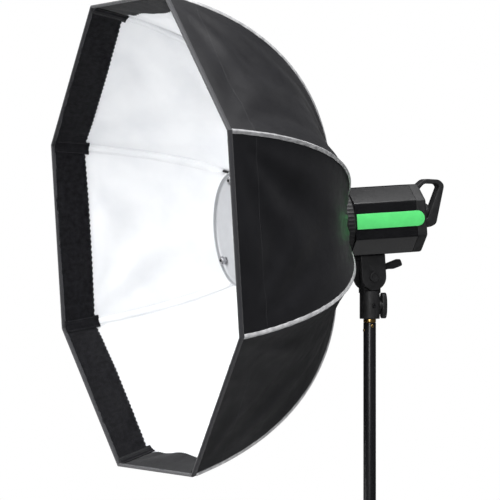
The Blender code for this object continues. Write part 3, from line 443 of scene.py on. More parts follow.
def rounded_end(radius, end, steps=48):
    """A half circle away from y = end, closed straight across at y = end."""
    side = 1 if end < 0 else -1
    arc = [(radius * math.cos(math.pi * k / steps), side * radius * math.sin(math.pi * k / steps))
           for k in range(steps + 1)]
    return arc + [(-radius, end), (radius, end)]


def bar(start, end, radius, sides=40):
    start, end = Vector(start), Vector(end)
    turn = (end - start).to_track_quat("Z", "Y").to_matrix().to_4x4()
    length = (end - start).length
    return turned([(0, 0), (radius, 0), (radius, length), (0, length)], Matrix.Translation(start) @ turn,
                  sides)


ACROSS = Matrix(((0, 0, 1, 0), (1, 0, 0, 0), (0, 1, 0, 0), (0, 0, 0, 1)))   # drawn in y and z, thick along x
pivot = Matrix.Translation((0, 0, TILT_HEIGHT))
knob_z = SOCKET_FOOT + 0.023
body_of_socket = turned(eased([(0.0094, SOCKET_FOOT), (0.0175, SOCKET_FOOT), (0.0175, SOCKET_TOP),
                               (0, SOCKET_TOP), (0, SOCKET_FOOT + 0.040), (0.0084, SOCKET_FOOT + 0.040),
                               (0.0084, SOCKET_FOOT + 0.001)],
                              0.0011), upright, 80)
socket = union_of("swivel_casting", [
    body_of_socket,
    slab(rounded_end(0.016, SOCKET_TOP - TILT_HEIGHT - 0.004), -0.0107, 0.0107, pivot @ ACROSS),
    bar((0, 0.0124, knob_z), (0, 0.019, knob_z), 0.0095)], powder, "swivel", [
    bar((-0.03, 0, TILT_HEIGHT), (0.03, 0, TILT_HEIGHT), 0.0044),
    bar((0, 0.002, knob_z), (0, 0.03, knob_z), 0.0034),
    bar((0.002, 0, knob_z), (0.03, 0, knob_z), 0.0037, 24)], 0.0005)
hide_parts("swivel_socket")

screw_turn = Matrix.Translation((0, 0, knob_z)) @ Matrix.Rotation(math.pi / 2, 4, "Y")
six = [(0.0019 * math.cos(math.tau * k / 6), 0.0019 * math.sin(math.tau * k / 6)) for k in range(6)]
set_screw = union_of("hex_set_screw",
                     [turned(eased([(0, 0.0087), (0.0034, 0.0087), (0.0034, 0.0187), (0, 0.0187)],
                                                    0.0004), screw_turn, 32)], anodised, "swivel",
                     [slab(six, 0.0155, 0.02, screw_turn)], 0.0001)
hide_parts("socket_set_screw")

knob_turn = Matrix.Translation((0, 0, knob_z)) @ Matrix.Rotation(-math.pi / 2, 4, "X")
WING_LEVELS = ((0.022, 0.0014), (0.0224, 0.0005), (0.0234, 0), (0.0296, 0), (0.0306, 0.0005), (0.031, 0.0014))
WING_SIDES = 64
wing = [knob_turn @ Vector(((0.009 - inset) * math.copysign(abs(math.cos(a)) ** 0.8, math.cos(a)) * 0.9,
                            (0.0225 - inset) * math.sin(a), level))
        for level, inset in WING_LEVELS for a in (math.tau * k / WING_SIDES for k in range(WING_SIDES))]
grip_dips = [bar(knob_turn @ Vector((0, side * 0.0135, 0.0302)),
                 knob_turn @ Vector((0, side * 0.0135, 0.034)), 0.0048)
             for side in (-1, 1)]
knob = union_of("paddle_clamp_knob", [
    turned(eased([(0, 0.0087), (0.003, 0.0087), (0.003, 0.0193), (0.0075, 0.0193), (0.0075, 0.0235),
                  (0, 0.0235)],
                 0.0004), knob_turn, 48), (wing, ring_faces_of(len(WING_LEVELS), WING_SIDES))], moulded,
                "lock_knob", grip_dips, 0.0004)
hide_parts("paddle_knob")

# ---- Tilt bracket ------------------------------------------------------------
# A cast yoke hangs under the flash head. Its two round ears close on the tongue, a cross bolt with a flat
# pivot head runs through all three, and a cranked lever pulls the bolt tight to hold the tilt.
ring_joint = next(j for j in frame["joints"] if j["name"] == "ring_turn")
forward = Vector(ring_joint["axis"])
forward = forward if forward.y < 0 else -forward
side_way = Vector((1, 0, 0))
facing = Matrix((side_way, forward.cross(side_way), forward)).transposed()
HEAD = Matrix.Translation(ring_joint["pos_m"]) @ facing.to_4x4()
LEAN = math.radians(3.63)
tilt_frame = pivot @ Matrix.Rotation(LEAN, 4, "X")
under_head = 0.0976 - 0.059
yoke = union_of("tilt_yoke_casting",
                [slab(rounded_end(0.0235, under_head - 0.0003), -0.019, 0.019, tilt_frame @ ACROSS)], powder,
                "head", [
    slab([(-0.05, -0.05), (0.05, -0.05), (0.05, under_head - 0.008), (-0.05, under_head - 0.008)], -0.011,
         0.011, tilt_frame @ ACROSS),
         bar(tilt_frame @ Vector((-0.05, 0, 0)), tilt_frame @ Vector((0.05, 0, 0)), 0.0043)], 0.0013)
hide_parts("tilt_yoke")

bolt_turn = tilt_frame @ Matrix.Rotation(math.pi / 2, 4, "Y")
bolt = union_of("pivot_bolt", [turned(eased([(0, -0.0344), (0.004, -0.0344), (0.004, 0.0193), (0.009, 0.0193),
                                             (0.009, 0.0222), (0, 0.0222)], 0.0011), bolt_turn, 56)], moulded,
                "head", [turned([(0.0052, 0.0213), (0.0060, 0.0213), (0.0060, 0.023), (0.0052, 0.023)],
                                bolt_turn, 56)], 0.0001)
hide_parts("tilt_bolt")

lever_turn = tilt_frame @ Matrix.Rotation(math.radians(18.9), 4, "X")
arm = smooth_outline([(0.004, -0.006), (0.0456, -0.0045), (0.057, -0.009), (0.076, -0.010), (0.076, 0.003),
                      (0.0456, 0.0045), (0.004, 0.006)], 0.004)
ribs_on_grip = [slab([(x, -0.02), (x + 0.0012, -0.02), (x + 0.0012, -0.0092), (x, -0.0092)], -0.04, 0.0,
                     lever_turn @ ACROSS)
                for x in (0.060, 0.064, 0.068, 0.072)]
lever = union_of("cranked_tilt_lever", [
    turned(eased([(0, -0.0324), (0.011, -0.0324), (0.011, -0.0194), (0, -0.0194)], 0.0012),
           lever_turn @ Matrix.Rotation(math.pi / 2, 4, "Y"), 56),
    slab(arm, -0.0314, -0.0204, lever_turn @ ACROSS)], moulded, "lever",
    [bar(lever_turn @ Vector((-0.06, 0, 0)), lever_turn @ Vector((0, 0, 0)), 0.0044)] + ribs_on_grip, 0.0008)
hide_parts("tilt_lever")

# ---- Flash head casing -------------------------------------------------------
# The head's eight-sided sleeve is one aluminium extrusion, painted satin black so that its long chamfers draw
# even highlights. It slides over the front flange, and a matt moulded cap closes it behind.
CASE_BACK, CAP_FRONT, CAP_BACK = -0.120, -0.1203, -0.1398
case_paint = hard_finish("satin_black_case_paint", (0.0050, 0.0050, 0.0058), 0.22, 0.0, coat=0.1, grain=1300,
                         depth=0.000006, spread=0.06)
cap_moulding = hard_finish("matt_black_cap_moulding", (0.0115, 0.0115, 0.0125), 0.5, grain=2200,
                           depth=0.00012)


def case_section(inset=0.0, steps=7):
    """The sleeve's section, with its eight corners rounded, moved inwards by an inset."""
    w, h, c = 0.058 - inset, 0.059 - inset, 0.028 - inset * (2 - math.sqrt(2))
    quarter = [(w, h - c), (w - c, h)]
    outline = quarter + [(-x, y) for x, y in quarter[::-1]]
    return smooth_outline(outline + [(-x, -y) for x, y in outline], 0.006 * math.tan(math.pi / 8), steps)


def lofted(levels, placing):
    """Outlines of equal count, each at its own height, joined and closed at both ends."""
    points = [placing @ Vector((x, y, z)) for outline, z in levels for x, y in outline]
    return points, ring_faces_of(len(levels), len(levels[0][0]))


def window(centre, size, low, high, grow=0.0, placing=HEAD):
    w, h = size[0] / 2 + grow, size[1] / 2 + grow
    return slab([(centre[0] + a * w, centre[1] + b * h) for a, b in ((-1, -1), (1, -1), (1, 1), (-1, 1))],
                low, high, placing)


sleeve = union_of("flash_head_sleeve",
                  [lofted([(case_section(0.0004), CASE_BACK), (case_section(), CASE_BACK + 0.0004),
                                                (case_section(), -0.0014), (case_section(0.0006), -0.0008)],
                          HEAD)],
                  case_paint, "head", [slab(case_section(0.003), CASE_BACK - 0.01, 0.01, HEAD),
                                       window((-0.06, 0.024), (0.012, 0.0068), -0.0284, -0.0166)], 0, 30)
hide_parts("head_housing")

turns = [math.pi / 2 * k / 9 for k in range(10)]
cap_levels = [(case_section(0.005 * (1 - math.sin(a))), CAP_BACK + 0.005 * (1 - math.cos(a))) for a in turns]
cap_levels += [(case_section(), CAP_FRONT - 0.0006), (case_section(0.0006), CAP_FRONT)]
BUTTONS_AT = ((-0.0455, -0.010), (-0.0335, -0.010), (-0.0215, -0.010))
out_back = CAP_BACK - 0.01
vent_slots = [window((0.033, 0.034 + 0.0036 * k), (0.030, 0.0014), out_back, CAP_BACK + 0.0014)
              for k in range(3)]
holes = [slab(case_section(0.0045), CAP_BACK + 0.0035, 0, HEAD),
         window((-0.0335, 0.014), (0.032, 0.022), out_back, CAP_BACK + 0.0013, 0.0003),
         bar(HEAD @ Vector((0.033, 0.012, out_back)), HEAD @ Vector((0.033, 0.012, 0)), 0.0034),
         window((0.033, -0.028), (0.019, 0.013), out_back, 0, 0.0011),
         window((-0.018, -0.034), (0.028, 0.020), out_back, 0, 0.0003)]
holes += [bar(HEAD @ Vector((*at, out_back)), HEAD @ Vector((*at, 0)), 0.0049) for at in BUTTONS_AT]
cap = union_of("rear_control_cap", [lofted(cap_levels, HEAD)], cap_moulding, "head", holes + vent_slots, 0,
               30)
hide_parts("rear_cap")

# ---- Side trims --------------------------------------------------------------
# A green moulded strip runs along each flat side of the sleeve, square in front and half round behind. It is
# held by tape, and its face has a fine satin grain.
trim_green = hard_finish("green_satin_moulding", (0.095, 0.64, 0.17), 0.36, grain=2400, depth=0.00006,
                         spread=0.05)
LENGTHWISE = HEAD @ Matrix(((0, 0, 1, 0), (0, 1, 0, 0), (1, 0, 0, 0), (0, 0, 0, 1)))
half, round_centre = 0.01325, -0.134 + 0.01325
strip = [(-0.004, -half), (-0.004, half)] + [(round_centre + half * math.cos(a), half * math.sin(a)) for a in
                                             (math.pi / 2 + math.pi * k / 40 for k in range(41))]
for side, low in (("right", 0.0583), ("left", -0.0595)):
    trim = union_of(f"green_side_trim_{side}", [slab(strip, low, low + 0.0012, LENGTHWISE)], trim_green,
                    "head", (), 0.0004)
    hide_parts(f"trim_{side}")

# ---- Carry handle ------------------------------------------------------------
# A single glass-filled nylon loop stands off the back of the cap and is screwed to it from inside. Every edge is
# rolled for the hand.
loop = [(0, 0.0500), (0.0235, 0.0670), (0.0515, 0.0640), (0.0605, 0.0545), (0.0405, -0.0130),
        (0.0300, -0.0175), (0, -0.0195), (0, -0.0045), (0.0235, -0.0045), (0.0510, 0.0520), (0.0470, 0.0570),
        (0.0215, 0.0590), (0, 0.0385)]
loop = smooth_outline([(CAP_BACK - 0.0003 - behind, height) for behind, height in loop], 0.006, 6)
handle = union_of("rolled_edge_carry_handle", [slab(loop, -0.010, 0.010, LENGTHWISE)], moulded, "head", (),
                  0.0028)
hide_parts("carry_handle")

# ---- Rear controls -----------------------------------------------------------
# A knurled power dial, three domed push buttons, a rocker switch, a smoked display window and a mains inlet
# with three blades. All are pressed or snapped into the cap from behind, and the window is bonded in place.


def knurled_ring(profile, ridges, depth, placing):
    """A turned shape whose widest part is cut with fine ridges along its axis."""
    sides = ridges * 4
    widest = max(r for r, _ in profile)
    points, faces = turned(profile, Matrix.Identity(4), sides)
    for point in points:
        reach = math.hypot(point.x, point.y)
        if reach > widest * 0.985:
            tooth = abs((math.atan2(point.y, point.x) / math.tau * ridges) % 1 - 0.5) * 2
            trimmed = 1 - depth * min(1, tooth * 1.6) / widest
            point.x, point.y = point.x * trimmed, point.y * trimmed
    return [placing @ point for point in points], faces


dial_seat = HEAD @ Matrix.Translation((0.033, 0.012, CAP_BACK))
pointer = window((0.033, 0.0212), (0.0012, 0.005), CAP_BACK - 0.0125, CAP_BACK - 0.0114)
dial = union_of("knurled_power_dial", [knurled_ring(eased([
    (0, 0.010), (0.003, 0.010), (0.003, -0.0003), (0.013, -0.0003), (0.013, -0.0088), (0.0112, -0.0118),
    (0.0100, -0.0118), (0.0095, -0.0112), (0, -0.0112)], 0.0004), 36, 0.0005, dial_seat)], moulded, "dial",
                [pointer], 0, 28)
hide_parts("control_dial")
for k, at in enumerate(BUTTONS_AT, 1):
    points, faces = turned(eased([(0, 0.0059), (0.0054, 0.0059), (0.0054, 0.0039), (0.0045, 0.0039),
                                  (0.0045, -0.002), (0.0030, -0.0018), (0, -0.0014)], 0.0005),
                           HEAD @ Matrix.Translation((*at, CAP_BACK)), 40)
    button = new_piece(f"dished_push_button_{k}", points, faces, moulded, f"button_{k}")
    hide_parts(f"push_button_{k}")

glossy = hard_finish("smoked_window", (0.012, 0.02, 0.028), 0.08, coat=0.5, grain=300, depth=0.00001,
                     spread=0.1)
porcelain = hard_finish("unglazed_insulator", (0.74, 0.72, 0.67), 0.62, grain=1600, depth=0.0001, spread=0.08)
laminate = hard_finish("lacquered_laminate", (0.02, 0.16, 0.06), 0.4, coat=0.2, grain=500, depth=0.0001)
bright_alloy = hard_finish("brushed_aluminium", (0.55, 0.55, 0.57), 0.34, 1.0, grain=900, depth=0.00004,
                           streaks=(1, 1, 18), spread=0.1)
spring_steel = hard_finish("drawn_spring_steel", (0.10, 0.10, 0.11), 0.3, 0.9, grain=900, depth=0.00004,
                           spread=0.2)
black_steel = hard_finish("blackened_steel", (0.03, 0.03, 0.033), 0.34, 0.7, grain=900, depth=0.00005,
                          spread=0.25)
opal, opal_tree, opal_shader = finish_kit("frosted_heat_glass", (0.93, 0.93, 0.9), 0.28, coat=0.4)
opal_here = node(opal_tree, "ShaderNodeTexCoord").outputs["Object"]
opal_tree.links.new(shade(opal_tree, patch(opal_tree, opal_here, 90, 0, 1), (0.86, 0.86, 0.83),
                          (0.95, 0.95, 0.93)),
                    opal_shader.inputs["Base Color"])
opal_fine = node(opal_tree, "ShaderNodeTexNoise", to_Vector=opal_here, to_Scale=2500.0)
raise_grain(opal_tree, opal_shader, opal_fine.outputs[0], 0.4, 0.00005)
carried_over = {"display_window": glossy, "power_inlet": cap_moulding, "rocker_switch": moulded,
                "release_slide": moulded, "head_flange": bright_alloy, "lamp_base": porcelain,
                "flash_tube": opal, "modelling_lamp": opal, "glass_dome": opal, "circuit_board": laminate,
                "flash_capacitor": bright_alloy, "fan_wheel": moulded, "hinge_wire": spring_steel}
for name, finish in carried_over.items():
    for slot in frame["nodes"][name].material_slots:
        slot.material = finish

# ---- Speed ring and folding hub ----------------------------------------------
# A turned aluminium ring locks onto the flash head's neck and is painted matt black. The moulded hub in front
# carries one steel wire ring, and the eight rib eyes hinge on that wire in the hub's slots.
ring_points, ring_faces = knurled_ring(eased([(0.0484, 0), (0.0615, 0), (0.0645, 0.0022), (0.0645, 0.0150),
                                              (0.0628, 0.0158), (0.0628, 0.0176), (0.0605, 0.0215),
                                              (0.0484, 0.0215)], 0.0006), 60, 0.0006, HEAD)
speed_ring = new_piece("knurled_speed_ring", ring_points, ring_faces, powder, "softbox", 28)
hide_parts("speed_ring")
for name, finish in (("folding_hub", moulded), *((f"rib_{k}", black_steel) for k in range(1, 9))):
    for slot in frame["nodes"][name].material_slots:
        slot.material = finish

# ---- Canopy: outer cloth -----------------------------------------------------
# Eight gores of black coated nylon, cut flat and sewn edge to edge. The bent ribs pull each one tight to a
# straight front edge, and it bows a little inwards behind, with creases that fan from its corners and hub.
RIM_RADIUS = 0.433
SEAM = (Vector((0.066, 0.027)), Vector((0.265, 0.0512)), Vector((0.383, 0.1873)), Vector((RIM_RADIUS, 0.375)))
PITCH = math.tau / 8
SAG = 0.06


def seam(share):
    """Radius and forward distance of a rib's seam, from the hub (0) to the front edge (1)."""
    a, b, c, d = SEAM
    rest = 1 - share
    return a * rest ** 3 + b * 3 * rest ** 2 * share + c * 3 * rest * share ** 2 + d * share ** 3


def seam_way(share):
    a, b, c, d = SEAM
    rest = 1 - share
    return ((b - a) * rest ** 2 + (c - b) * 2 * rest * share + (d - c) * share ** 2).normalized()


def seam_inside(share, depth):
    way = seam_way(share)
    return seam(share) + Vector((-way.y, way.x)) * depth


FINE = 400
run = [0.0]
for step in range(FINE):
    run.append(run[-1] + (seam((step + 1) / FINE) - seam(step / FINE)).length)


def share_before_edge(distance):
    """Where the seam is a given length of cloth behind the front edge."""
    wanted = run[-1] - distance
    k = max(i for i in range(FINE) if run[i] <= max(wanted, 0))
    return (k + (wanted - run[k]) / (run[k + 1] - run[k])) / FINE


def rib_angle(k):
    return PITCH * (k - 0.5)


CLOTH_STARTS = next(k / FINE for k in range(FINE) if seam(k / FINE).x > 0.0843)
CLOTH_LENGTH = run[-1] * (1 - run[round(CLOTH_STARTS * FINE)] / run[-1])
FRONT_WIDTH = 2 * RIM_RADIUS * math.sin(PITCH / 2)


def bow(row):
    """How far a gore bows inwards between its ribs, as a share of its width: most just outside the hub."""
    return SAG * (1 - row ** 3) + 0.10 * math.exp(-((row - 0.20) / 0.17) ** 2) * min(1, row / 0.06)


def crease(k, row, across, width):
    """How far the cloth of gore k stands off its smooth shape, inwards, with none along its sewn edges."""
    seat = Vector((k * 7.3, row * 2.2, across * 1.6))
    drift = noise.noise(seat)
    standing = 0.0
    for corner, sideways in enumerate((across, 1 - across)):
        aside, behind = sideways * FRONT_WIDTH, (1 - row) * CLOTH_LENGTH
        distance = math.hypot(aside, behind)
        angle = math.atan2(behind, aside + 1e-6)
        fan = math.sin(angle * (10 + k % 3) + corner * 2.1 + k * 1.7 + drift * 2.5)
        standing += 0.0036 * fan * math.exp(-((distance - 0.15) / 0.13) ** 2)
    gather = math.sin(math.tau * (across * (4 + k % 2) + 0.35 * drift) + k) * math.exp(-row / 0.3)
    standing += 0.0030 * gather * min(1, width / 0.09)
    standing += 0.0045 * noise.noise(seat * 1.7 + Vector((3, 1, 9)))
    sharp = noise.noise(Vector((k * 3.1 + 40, row * 9 + across * 3, across * 11 - row * 4)))
    standing += 0.0016 * (1 - abs(sharp) * 2) * math.exp(-row / 0.45)
    return standing * (4 * across * (1 - across)) ** 0.7 * (1 - row ** 10) * min(1, row / 0.22)


def wall_point(k, share, across, depth):
    """A point of gore k's wall: along its seam, across from its first rib, and in from its outer face."""
    row = max(0.0, (share - CLOTH_STARTS) / (1 - CLOTH_STARTS))
    radius, ahead = seam_inside(share, depth)
    near, far = rib_angle(k), rib_angle(k) + PITCH
    start = Vector((radius * math.cos(near), radius * math.sin(near)))
    end = Vector((radius * math.cos(far), radius * math.sin(far)))
    width = (end - start).length
    middle = near + PITCH / 2
    inwards = Vector((-math.cos(middle), -math.sin(middle)))
    place = start.lerp(end, across) + inwards * bow(row) * width * math.sin(math.pi * across)
    way, standing = seam_way(share), crease(k, row, across, width)
    place += inwards * way.y * standing
    return HEAD @ Vector((place.x, place.y, ahead + way.x * standing))


def closed_sheet(deep, wide):
    """The faces of two layers of deep by wide points, with a wall joining them round the edge."""
    layer, faces = wide * deep, []
    for r in range(deep - 1):
        for c in range(wide - 1):
            first = r * wide + c
            faces.append([first, first + 1, first + wide + 1, first + wide])
            faces.append([layer + first, layer + first + wide, layer + first + wide + 1, layer + first + 1])
    edge = list(range(wide)) + [r * wide + wide - 1 for r in range(1, deep)]
    edge += [layer - wide + c for c in range(wide - 2, -1, -1)] + [r * wide for r in range(deep - 2, 0, -1)]
    return faces + [[b, a, a + layer, b + layer] for a, b in zip(edge, edge[1:] + edge[:1])]


def cloth_patch(k, shares, crossings, outer, inner):
    """A closed thin sheet over part of gore k, and the (across, along) place of each point in metres."""
    spots = [(depth, share, across) for depth in (outer, inner) for share in shares for across in crossings]
    points = [wall_point(k, share, across, depth) for depth, share, across in spots]
    flat = [(across * FRONT_WIDTH * seam(share).x / RIM_RADIUS, share * run[-1])
            for _, share, across in spots]
    return points, closed_sheet(len(shares), len(crossings)), flat


def sewn_piece(name, points, faces, flat, finish, body):
    """A cloth piece with its own flat pattern as its UV map, so that a weave follows the cut."""
    mesh = bpy.data.meshes.new(name)
    mesh.from_pydata([tuple(p) for p in points], [], faces)
    layout = mesh.uv_layers.new(name="pattern")
    for corner, entry in zip(mesh.loops, layout.data):
        entry.uv = flat[corner.vertex_index]
    shape = bmesh.new()
    shape.from_mesh(mesh)
    bmesh.ops.recalc_face_normals(shape, faces=shape.faces)
    shape.to_mesh(mesh)
    shape.free()
    return dress(name, mesh, finish, body, 60)


def woven(name, dark, light, roughness, sheen, pitch, depth, specular=0.4):
    """A plain weave on the flat pattern: crossed threads, cloudy tone, and a bump along the threads."""
    made, tree, shader = finish_kit(name, light, roughness, sheen=sheen, specular=specular)
    pattern = node(tree, "ShaderNodeTexCoord").outputs["UV"]
    threads = [node(tree, "ShaderNodeTexWave", to_Vector=pattern, bands_direction=way, to_Scale=0.314 / pitch,
                    to_Distortion=0.4).outputs["Fac"] for way in ("X", "Y")]
    weave = node(tree, "ShaderNodeMath", operation="MAXIMUM", to_0=threads[0], to_1=threads[1]).outputs[0]
    cloud = patch(tree, pattern, 14, 0, 1, 6.0)
    tone = node(tree, "ShaderNodeMath", operation="MULTIPLY_ADD", to_0=weave, to_1=0.35, to_2=cloud,
                use_clamp=True)
    tree.links.new(shade(tree, tone.outputs[0], dark, light), shader.inputs["Base Color"])
    tree.links.new(patch(tree, pattern, 40, roughness - 0.06, roughness + 0.08), shader.inputs["Roughness"])
    raise_grain(tree, shader, weave, 0.35, depth)
    return made


nylon = woven("black_coated_nylon", (0.0055, 0.0055, 0.0068), (0.0080, 0.0080, 0.0098), 0.44, 0.04, 0.0008,
              0.00012, 0.28)
rows = [CLOTH_STARTS + (1 - CLOTH_STARTS) * k / 64 for k in range(65)]
crossings = [k / 40 for k in range(41)]


def gather_on(piece):
    """Gives a cloth piece a mesh of its own."""
    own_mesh(piece)


for k in range(1, 9):
    gore = sewn_piece(f"nylon_gore_{k}", *cloth_patch(k, rows, crossings, 0.0, 0.0006), nylon, f"panel_{k}")
    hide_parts(f"gore_{k}")
    gather_on(gore)

# ---- Canopy: white lining ----------------------------------------------------
# The same gores are lined with a white reflective cloth, laid to the nylon before the ribs are sleeved in. One
# seam holds both, so they crease together, and the lining's front edge goes under the loop tape.
lining_cloth = woven("white_reflective_lining", (0.80, 0.815, 0.84), (0.88, 0.89, 0.905), 0.5, 0.1, 0.0007,
                     0.0001, 0.3)
linings = {}
for k in range(1, 9):
    lining = sewn_piece(f"white_lining_{k}", *cloth_patch(k, rows, crossings, 0.0009, 0.0015), lining_cloth,
                        f"panel_{k}")
    linings[k] = lining

# ---- Loop tape round the mouth -----------------------------------------------
# A 60 mm black loop tape, to hold a front diffuser, is sewn flat to the lining just behind the front edge. Its
# pile is dull and fuzzy, and the overlocked inner edge is slightly scalloped.
pile, pile_tree, pile_shader = finish_kit("black_loop_pile", (0.007, 0.007, 0.0085), 0.95, sheen=0.08,
                                          specular=0.1)
pile_here = node(pile_tree, "ShaderNodeTexCoord").outputs["UV"]
loops = node(pile_tree, "ShaderNodeTexNoise", to_Vector=pile_here, to_Scale=900.0, to_Detail=5.0).outputs[0]
rows_of_loops = node(pile_tree, "ShaderNodeTexVoronoi", to_Vector=pile_here, to_Scale=520.0).outputs[0]
mixed = node(pile_tree, "ShaderNodeMath", operation="MULTIPLY_ADD", to_0=rows_of_loops, to_1=0.6, to_2=loops)
pile_tree.links.new(shade(pile_tree, patch(pile_tree, pile_here, 120, 0, 1, 6.0), (0.0035, 0.0035, 0.0045),
                          (0.0115, 0.0115, 0.0135)), pile_shader.inputs["Base Color"])
raise_grain(pile_tree, pile_shader, mixed.outputs[0], 0.9, 0.0007)

TAPE, TAPE_STEPS, TAPE_COLUMNS = 0.060, 8, 132
for k in range(1, 9):
    points, flat = [], []
    for depth in (0.0017, 0.0031):
        for step in range(TAPE_STEPS + 1):
            for column in range(TAPE_COLUMNS + 1):
                across = column / TAPE_COLUMNS
                scallop = 0.0009 * math.sin(column * math.pi / 2) * (step == 0) + 0.0006 * (step == 0)
                behind = TAPE * (1 - step / TAPE_STEPS) - scallop
                lift = 0.0009 * noise.noise(Vector((k, step * 0.35, column * 0.09)))
                points.append(wall_point(k, share_before_edge(behind), 0.003 + 0.994 * across,
                                         depth + max(lift, -0.0001) * (step < TAPE_STEPS)))
                flat.append((across * FRONT_WIDTH, behind))
    tape = sewn_piece(f"loop_tape_{k}", points, closed_sheet(TAPE_STEPS + 1, TAPE_COLUMNS + 1), flat, pile,
                      f"panel_{k}")
    gather_on(tape)
    gather_on(linings[k])

# ---- Edge binding ------------------------------------------------------------
# Dark grey grosgrain tape, folded over the front edge of nylon, lining and loop tape together. One line of lock
# stitch goes through them all.
grosgrain, binding_tree, binding_shader = finish_kit("grey_grosgrain_binding", (0.024, 0.024, 0.028), 0.62,
                                                     sheen=0.22)
binding_here = node(binding_tree, "ShaderNodeTexCoord").outputs["UV"]
cord_lines = node(binding_tree, "ShaderNodeTexWave", to_Vector=binding_here, bands_direction="X",
                  to_Scale=260.0, to_Distortion=0.3).outputs["Fac"]
binding_tree.links.new(shade(binding_tree, cord_lines, (0.014, 0.014, 0.017), (0.032, 0.032, 0.037)),
                       binding_shader.inputs["Base Color"])
raise_grain(binding_tree, binding_shader, cord_lines, 0.6, 0.00015)
FOLD_ROUND = ((0.0075, -0.0002), (0.0068, -0.0009), (0.0030, -0.0011), (0.0004, -0.0009), (-0.0009, 0.0002),
              (-0.0012, 0.0013), (-0.0009, 0.0026), (0.0004, 0.0036), (0.0030, 0.0038), (0.0058, 0.0037),
              (0.0064, 0.0031))


def edge_point(k, across, behind, depth):
    """A point by its distance behind the straight front edge and in from the outer face."""
    way = seam_way(1.0)
    radius, ahead = seam(1.0) - way * behind + Vector((-way.y, way.x)) * depth
    start, end = [Vector((math.cos(turn), math.sin(turn))) * radius
                  for turn in (rib_angle(k), rib_angle(k) + PITCH)]
    place = start.lerp(end, across)
    return HEAD @ Vector((place.x, place.y, ahead))


BINDING_COLUMNS = 60
for k in range(1, 9):
    points, flat = [], []
    for column in range(BINDING_COLUMNS + 1):
        pucker = 1 + 0.10 * noise.noise(Vector((k * 5, column * 0.8, 0)))
        for n, (behind, depth) in enumerate(FOLD_ROUND):
            points.append(edge_point(k, column / BINDING_COLUMNS, behind * pucker, depth * pucker))
            flat.append((column / BINDING_COLUMNS * FRONT_WIDTH, n * 0.0018))
    binding = sewn_piece(f"edge_binding_{k}", points, ring_faces_of(BINDING_COLUMNS + 1, len(FOLD_ROUND)),
                         flat, grosgrain, f"panel_{k}")
    gather_on(binding)

# ---- Rib seams: piping, sleeves and corner tabs ------------------------------
# Outside, a silver reflective tape is folded over each rib seam. Inside, a white sleeve holds the rod for most of
# its length, and a black tab is sewn over the corner of the loop tape where the rod's end pushes.
EIGHTH_SLOPE = 0.4142   # how fast an octagon's sides fall away from a corner


def seam_point(k, share, aside, depth):
    """A point beside rib seam k, where the cloth falls away on both sides."""
    angle = rib_angle(k)
    outwards = Vector((math.cos(angle), math.sin(angle)))
    sideways = Vector((-math.sin(angle), math.cos(angle)))
    row = max(0.0, (share - CLOTH_STARTS) / (1 - CLOTH_STARTS))
    radius, ahead = seam_inside(share, depth)
    place = outwards * (radius - abs(aside) * (EIGHTH_SLOPE + math.pi * bow(row))) + sideways * aside
    return HEAD @ Vector((place.x, place.y, ahead))


def along_seam(k, section, stations, wander=0.0):
    """A closed strip over rib seam k, from its section as (aside, depth) and stations as (share, scale)."""
    points, flat = [], []
    for n, (share, scale) in enumerate(stations):
        drift = wander * noise.noise(Vector((k * 9.1, n * 0.33, 2)))
        for m, (aside, depth) in enumerate(section):
            points.append(seam_point(k, share, aside * scale + drift, depth))
            flat.append((m * 0.0015, share * run[-1]))
    return points, ring_faces_of(len(stations), len(section)), flat


silver, silver_tree, silver_shader = finish_kit("silver_reflective_tape", (0.5, 0.5, 0.51), 0.4, 0.35,
                                                sheen=0.1)
silver_here = node(silver_tree, "ShaderNodeTexCoord").outputs["UV"]
glass_beads = node(silver_tree, "ShaderNodeTexVoronoi", to_Vector=silver_here, to_Scale=900.0).outputs[0]
silver_tree.links.new(shade(silver_tree, patch(silver_tree, silver_here, 70, 0, 1, 5.0), (0.33, 0.33, 0.34),
                            (0.66, 0.66, 0.67)), silver_shader.inputs["Base Color"])
raise_grain(silver_tree, silver_shader, glass_beads, 0.5, 0.0002)
TAPE_FOLD = ((-0.0042, 0.0001), (-0.0040, -0.0006), (-0.0024, -0.0009), (-0.0018, -0.0015), (0, -0.0019),
             (0.0018, -0.0015), (0.0024, -0.0009), (0.0040, -0.0006), (0.0042, 0.0001), (0, 0.0001))
SLEEVE = ((-0.0092, 0.0016), (-0.0092, 0.0024), (-0.0060, 0.0030), (-0.0048, 0.0062), (-0.0022, 0.0084),
          (0, 0.0088), (0.0022, 0.0084), (0.0048, 0.0062), (0.0060, 0.0030), (0.0092, 0.0024),
          (0.0092, 0.0016), (0, 0.0016))
TAB = ((-0.0108, 0.0030), (-0.0110, 0.0050), (-0.0066, 0.0058), (-0.0050, 0.0080), (-0.0022, 0.0096),
       (0, 0.0099), (0.0022, 0.0096), (0.0050, 0.0080), (0.0066, 0.0058), (0.0110, 0.0050), (0.0108, 0.0030),
       (0, 0.0030))
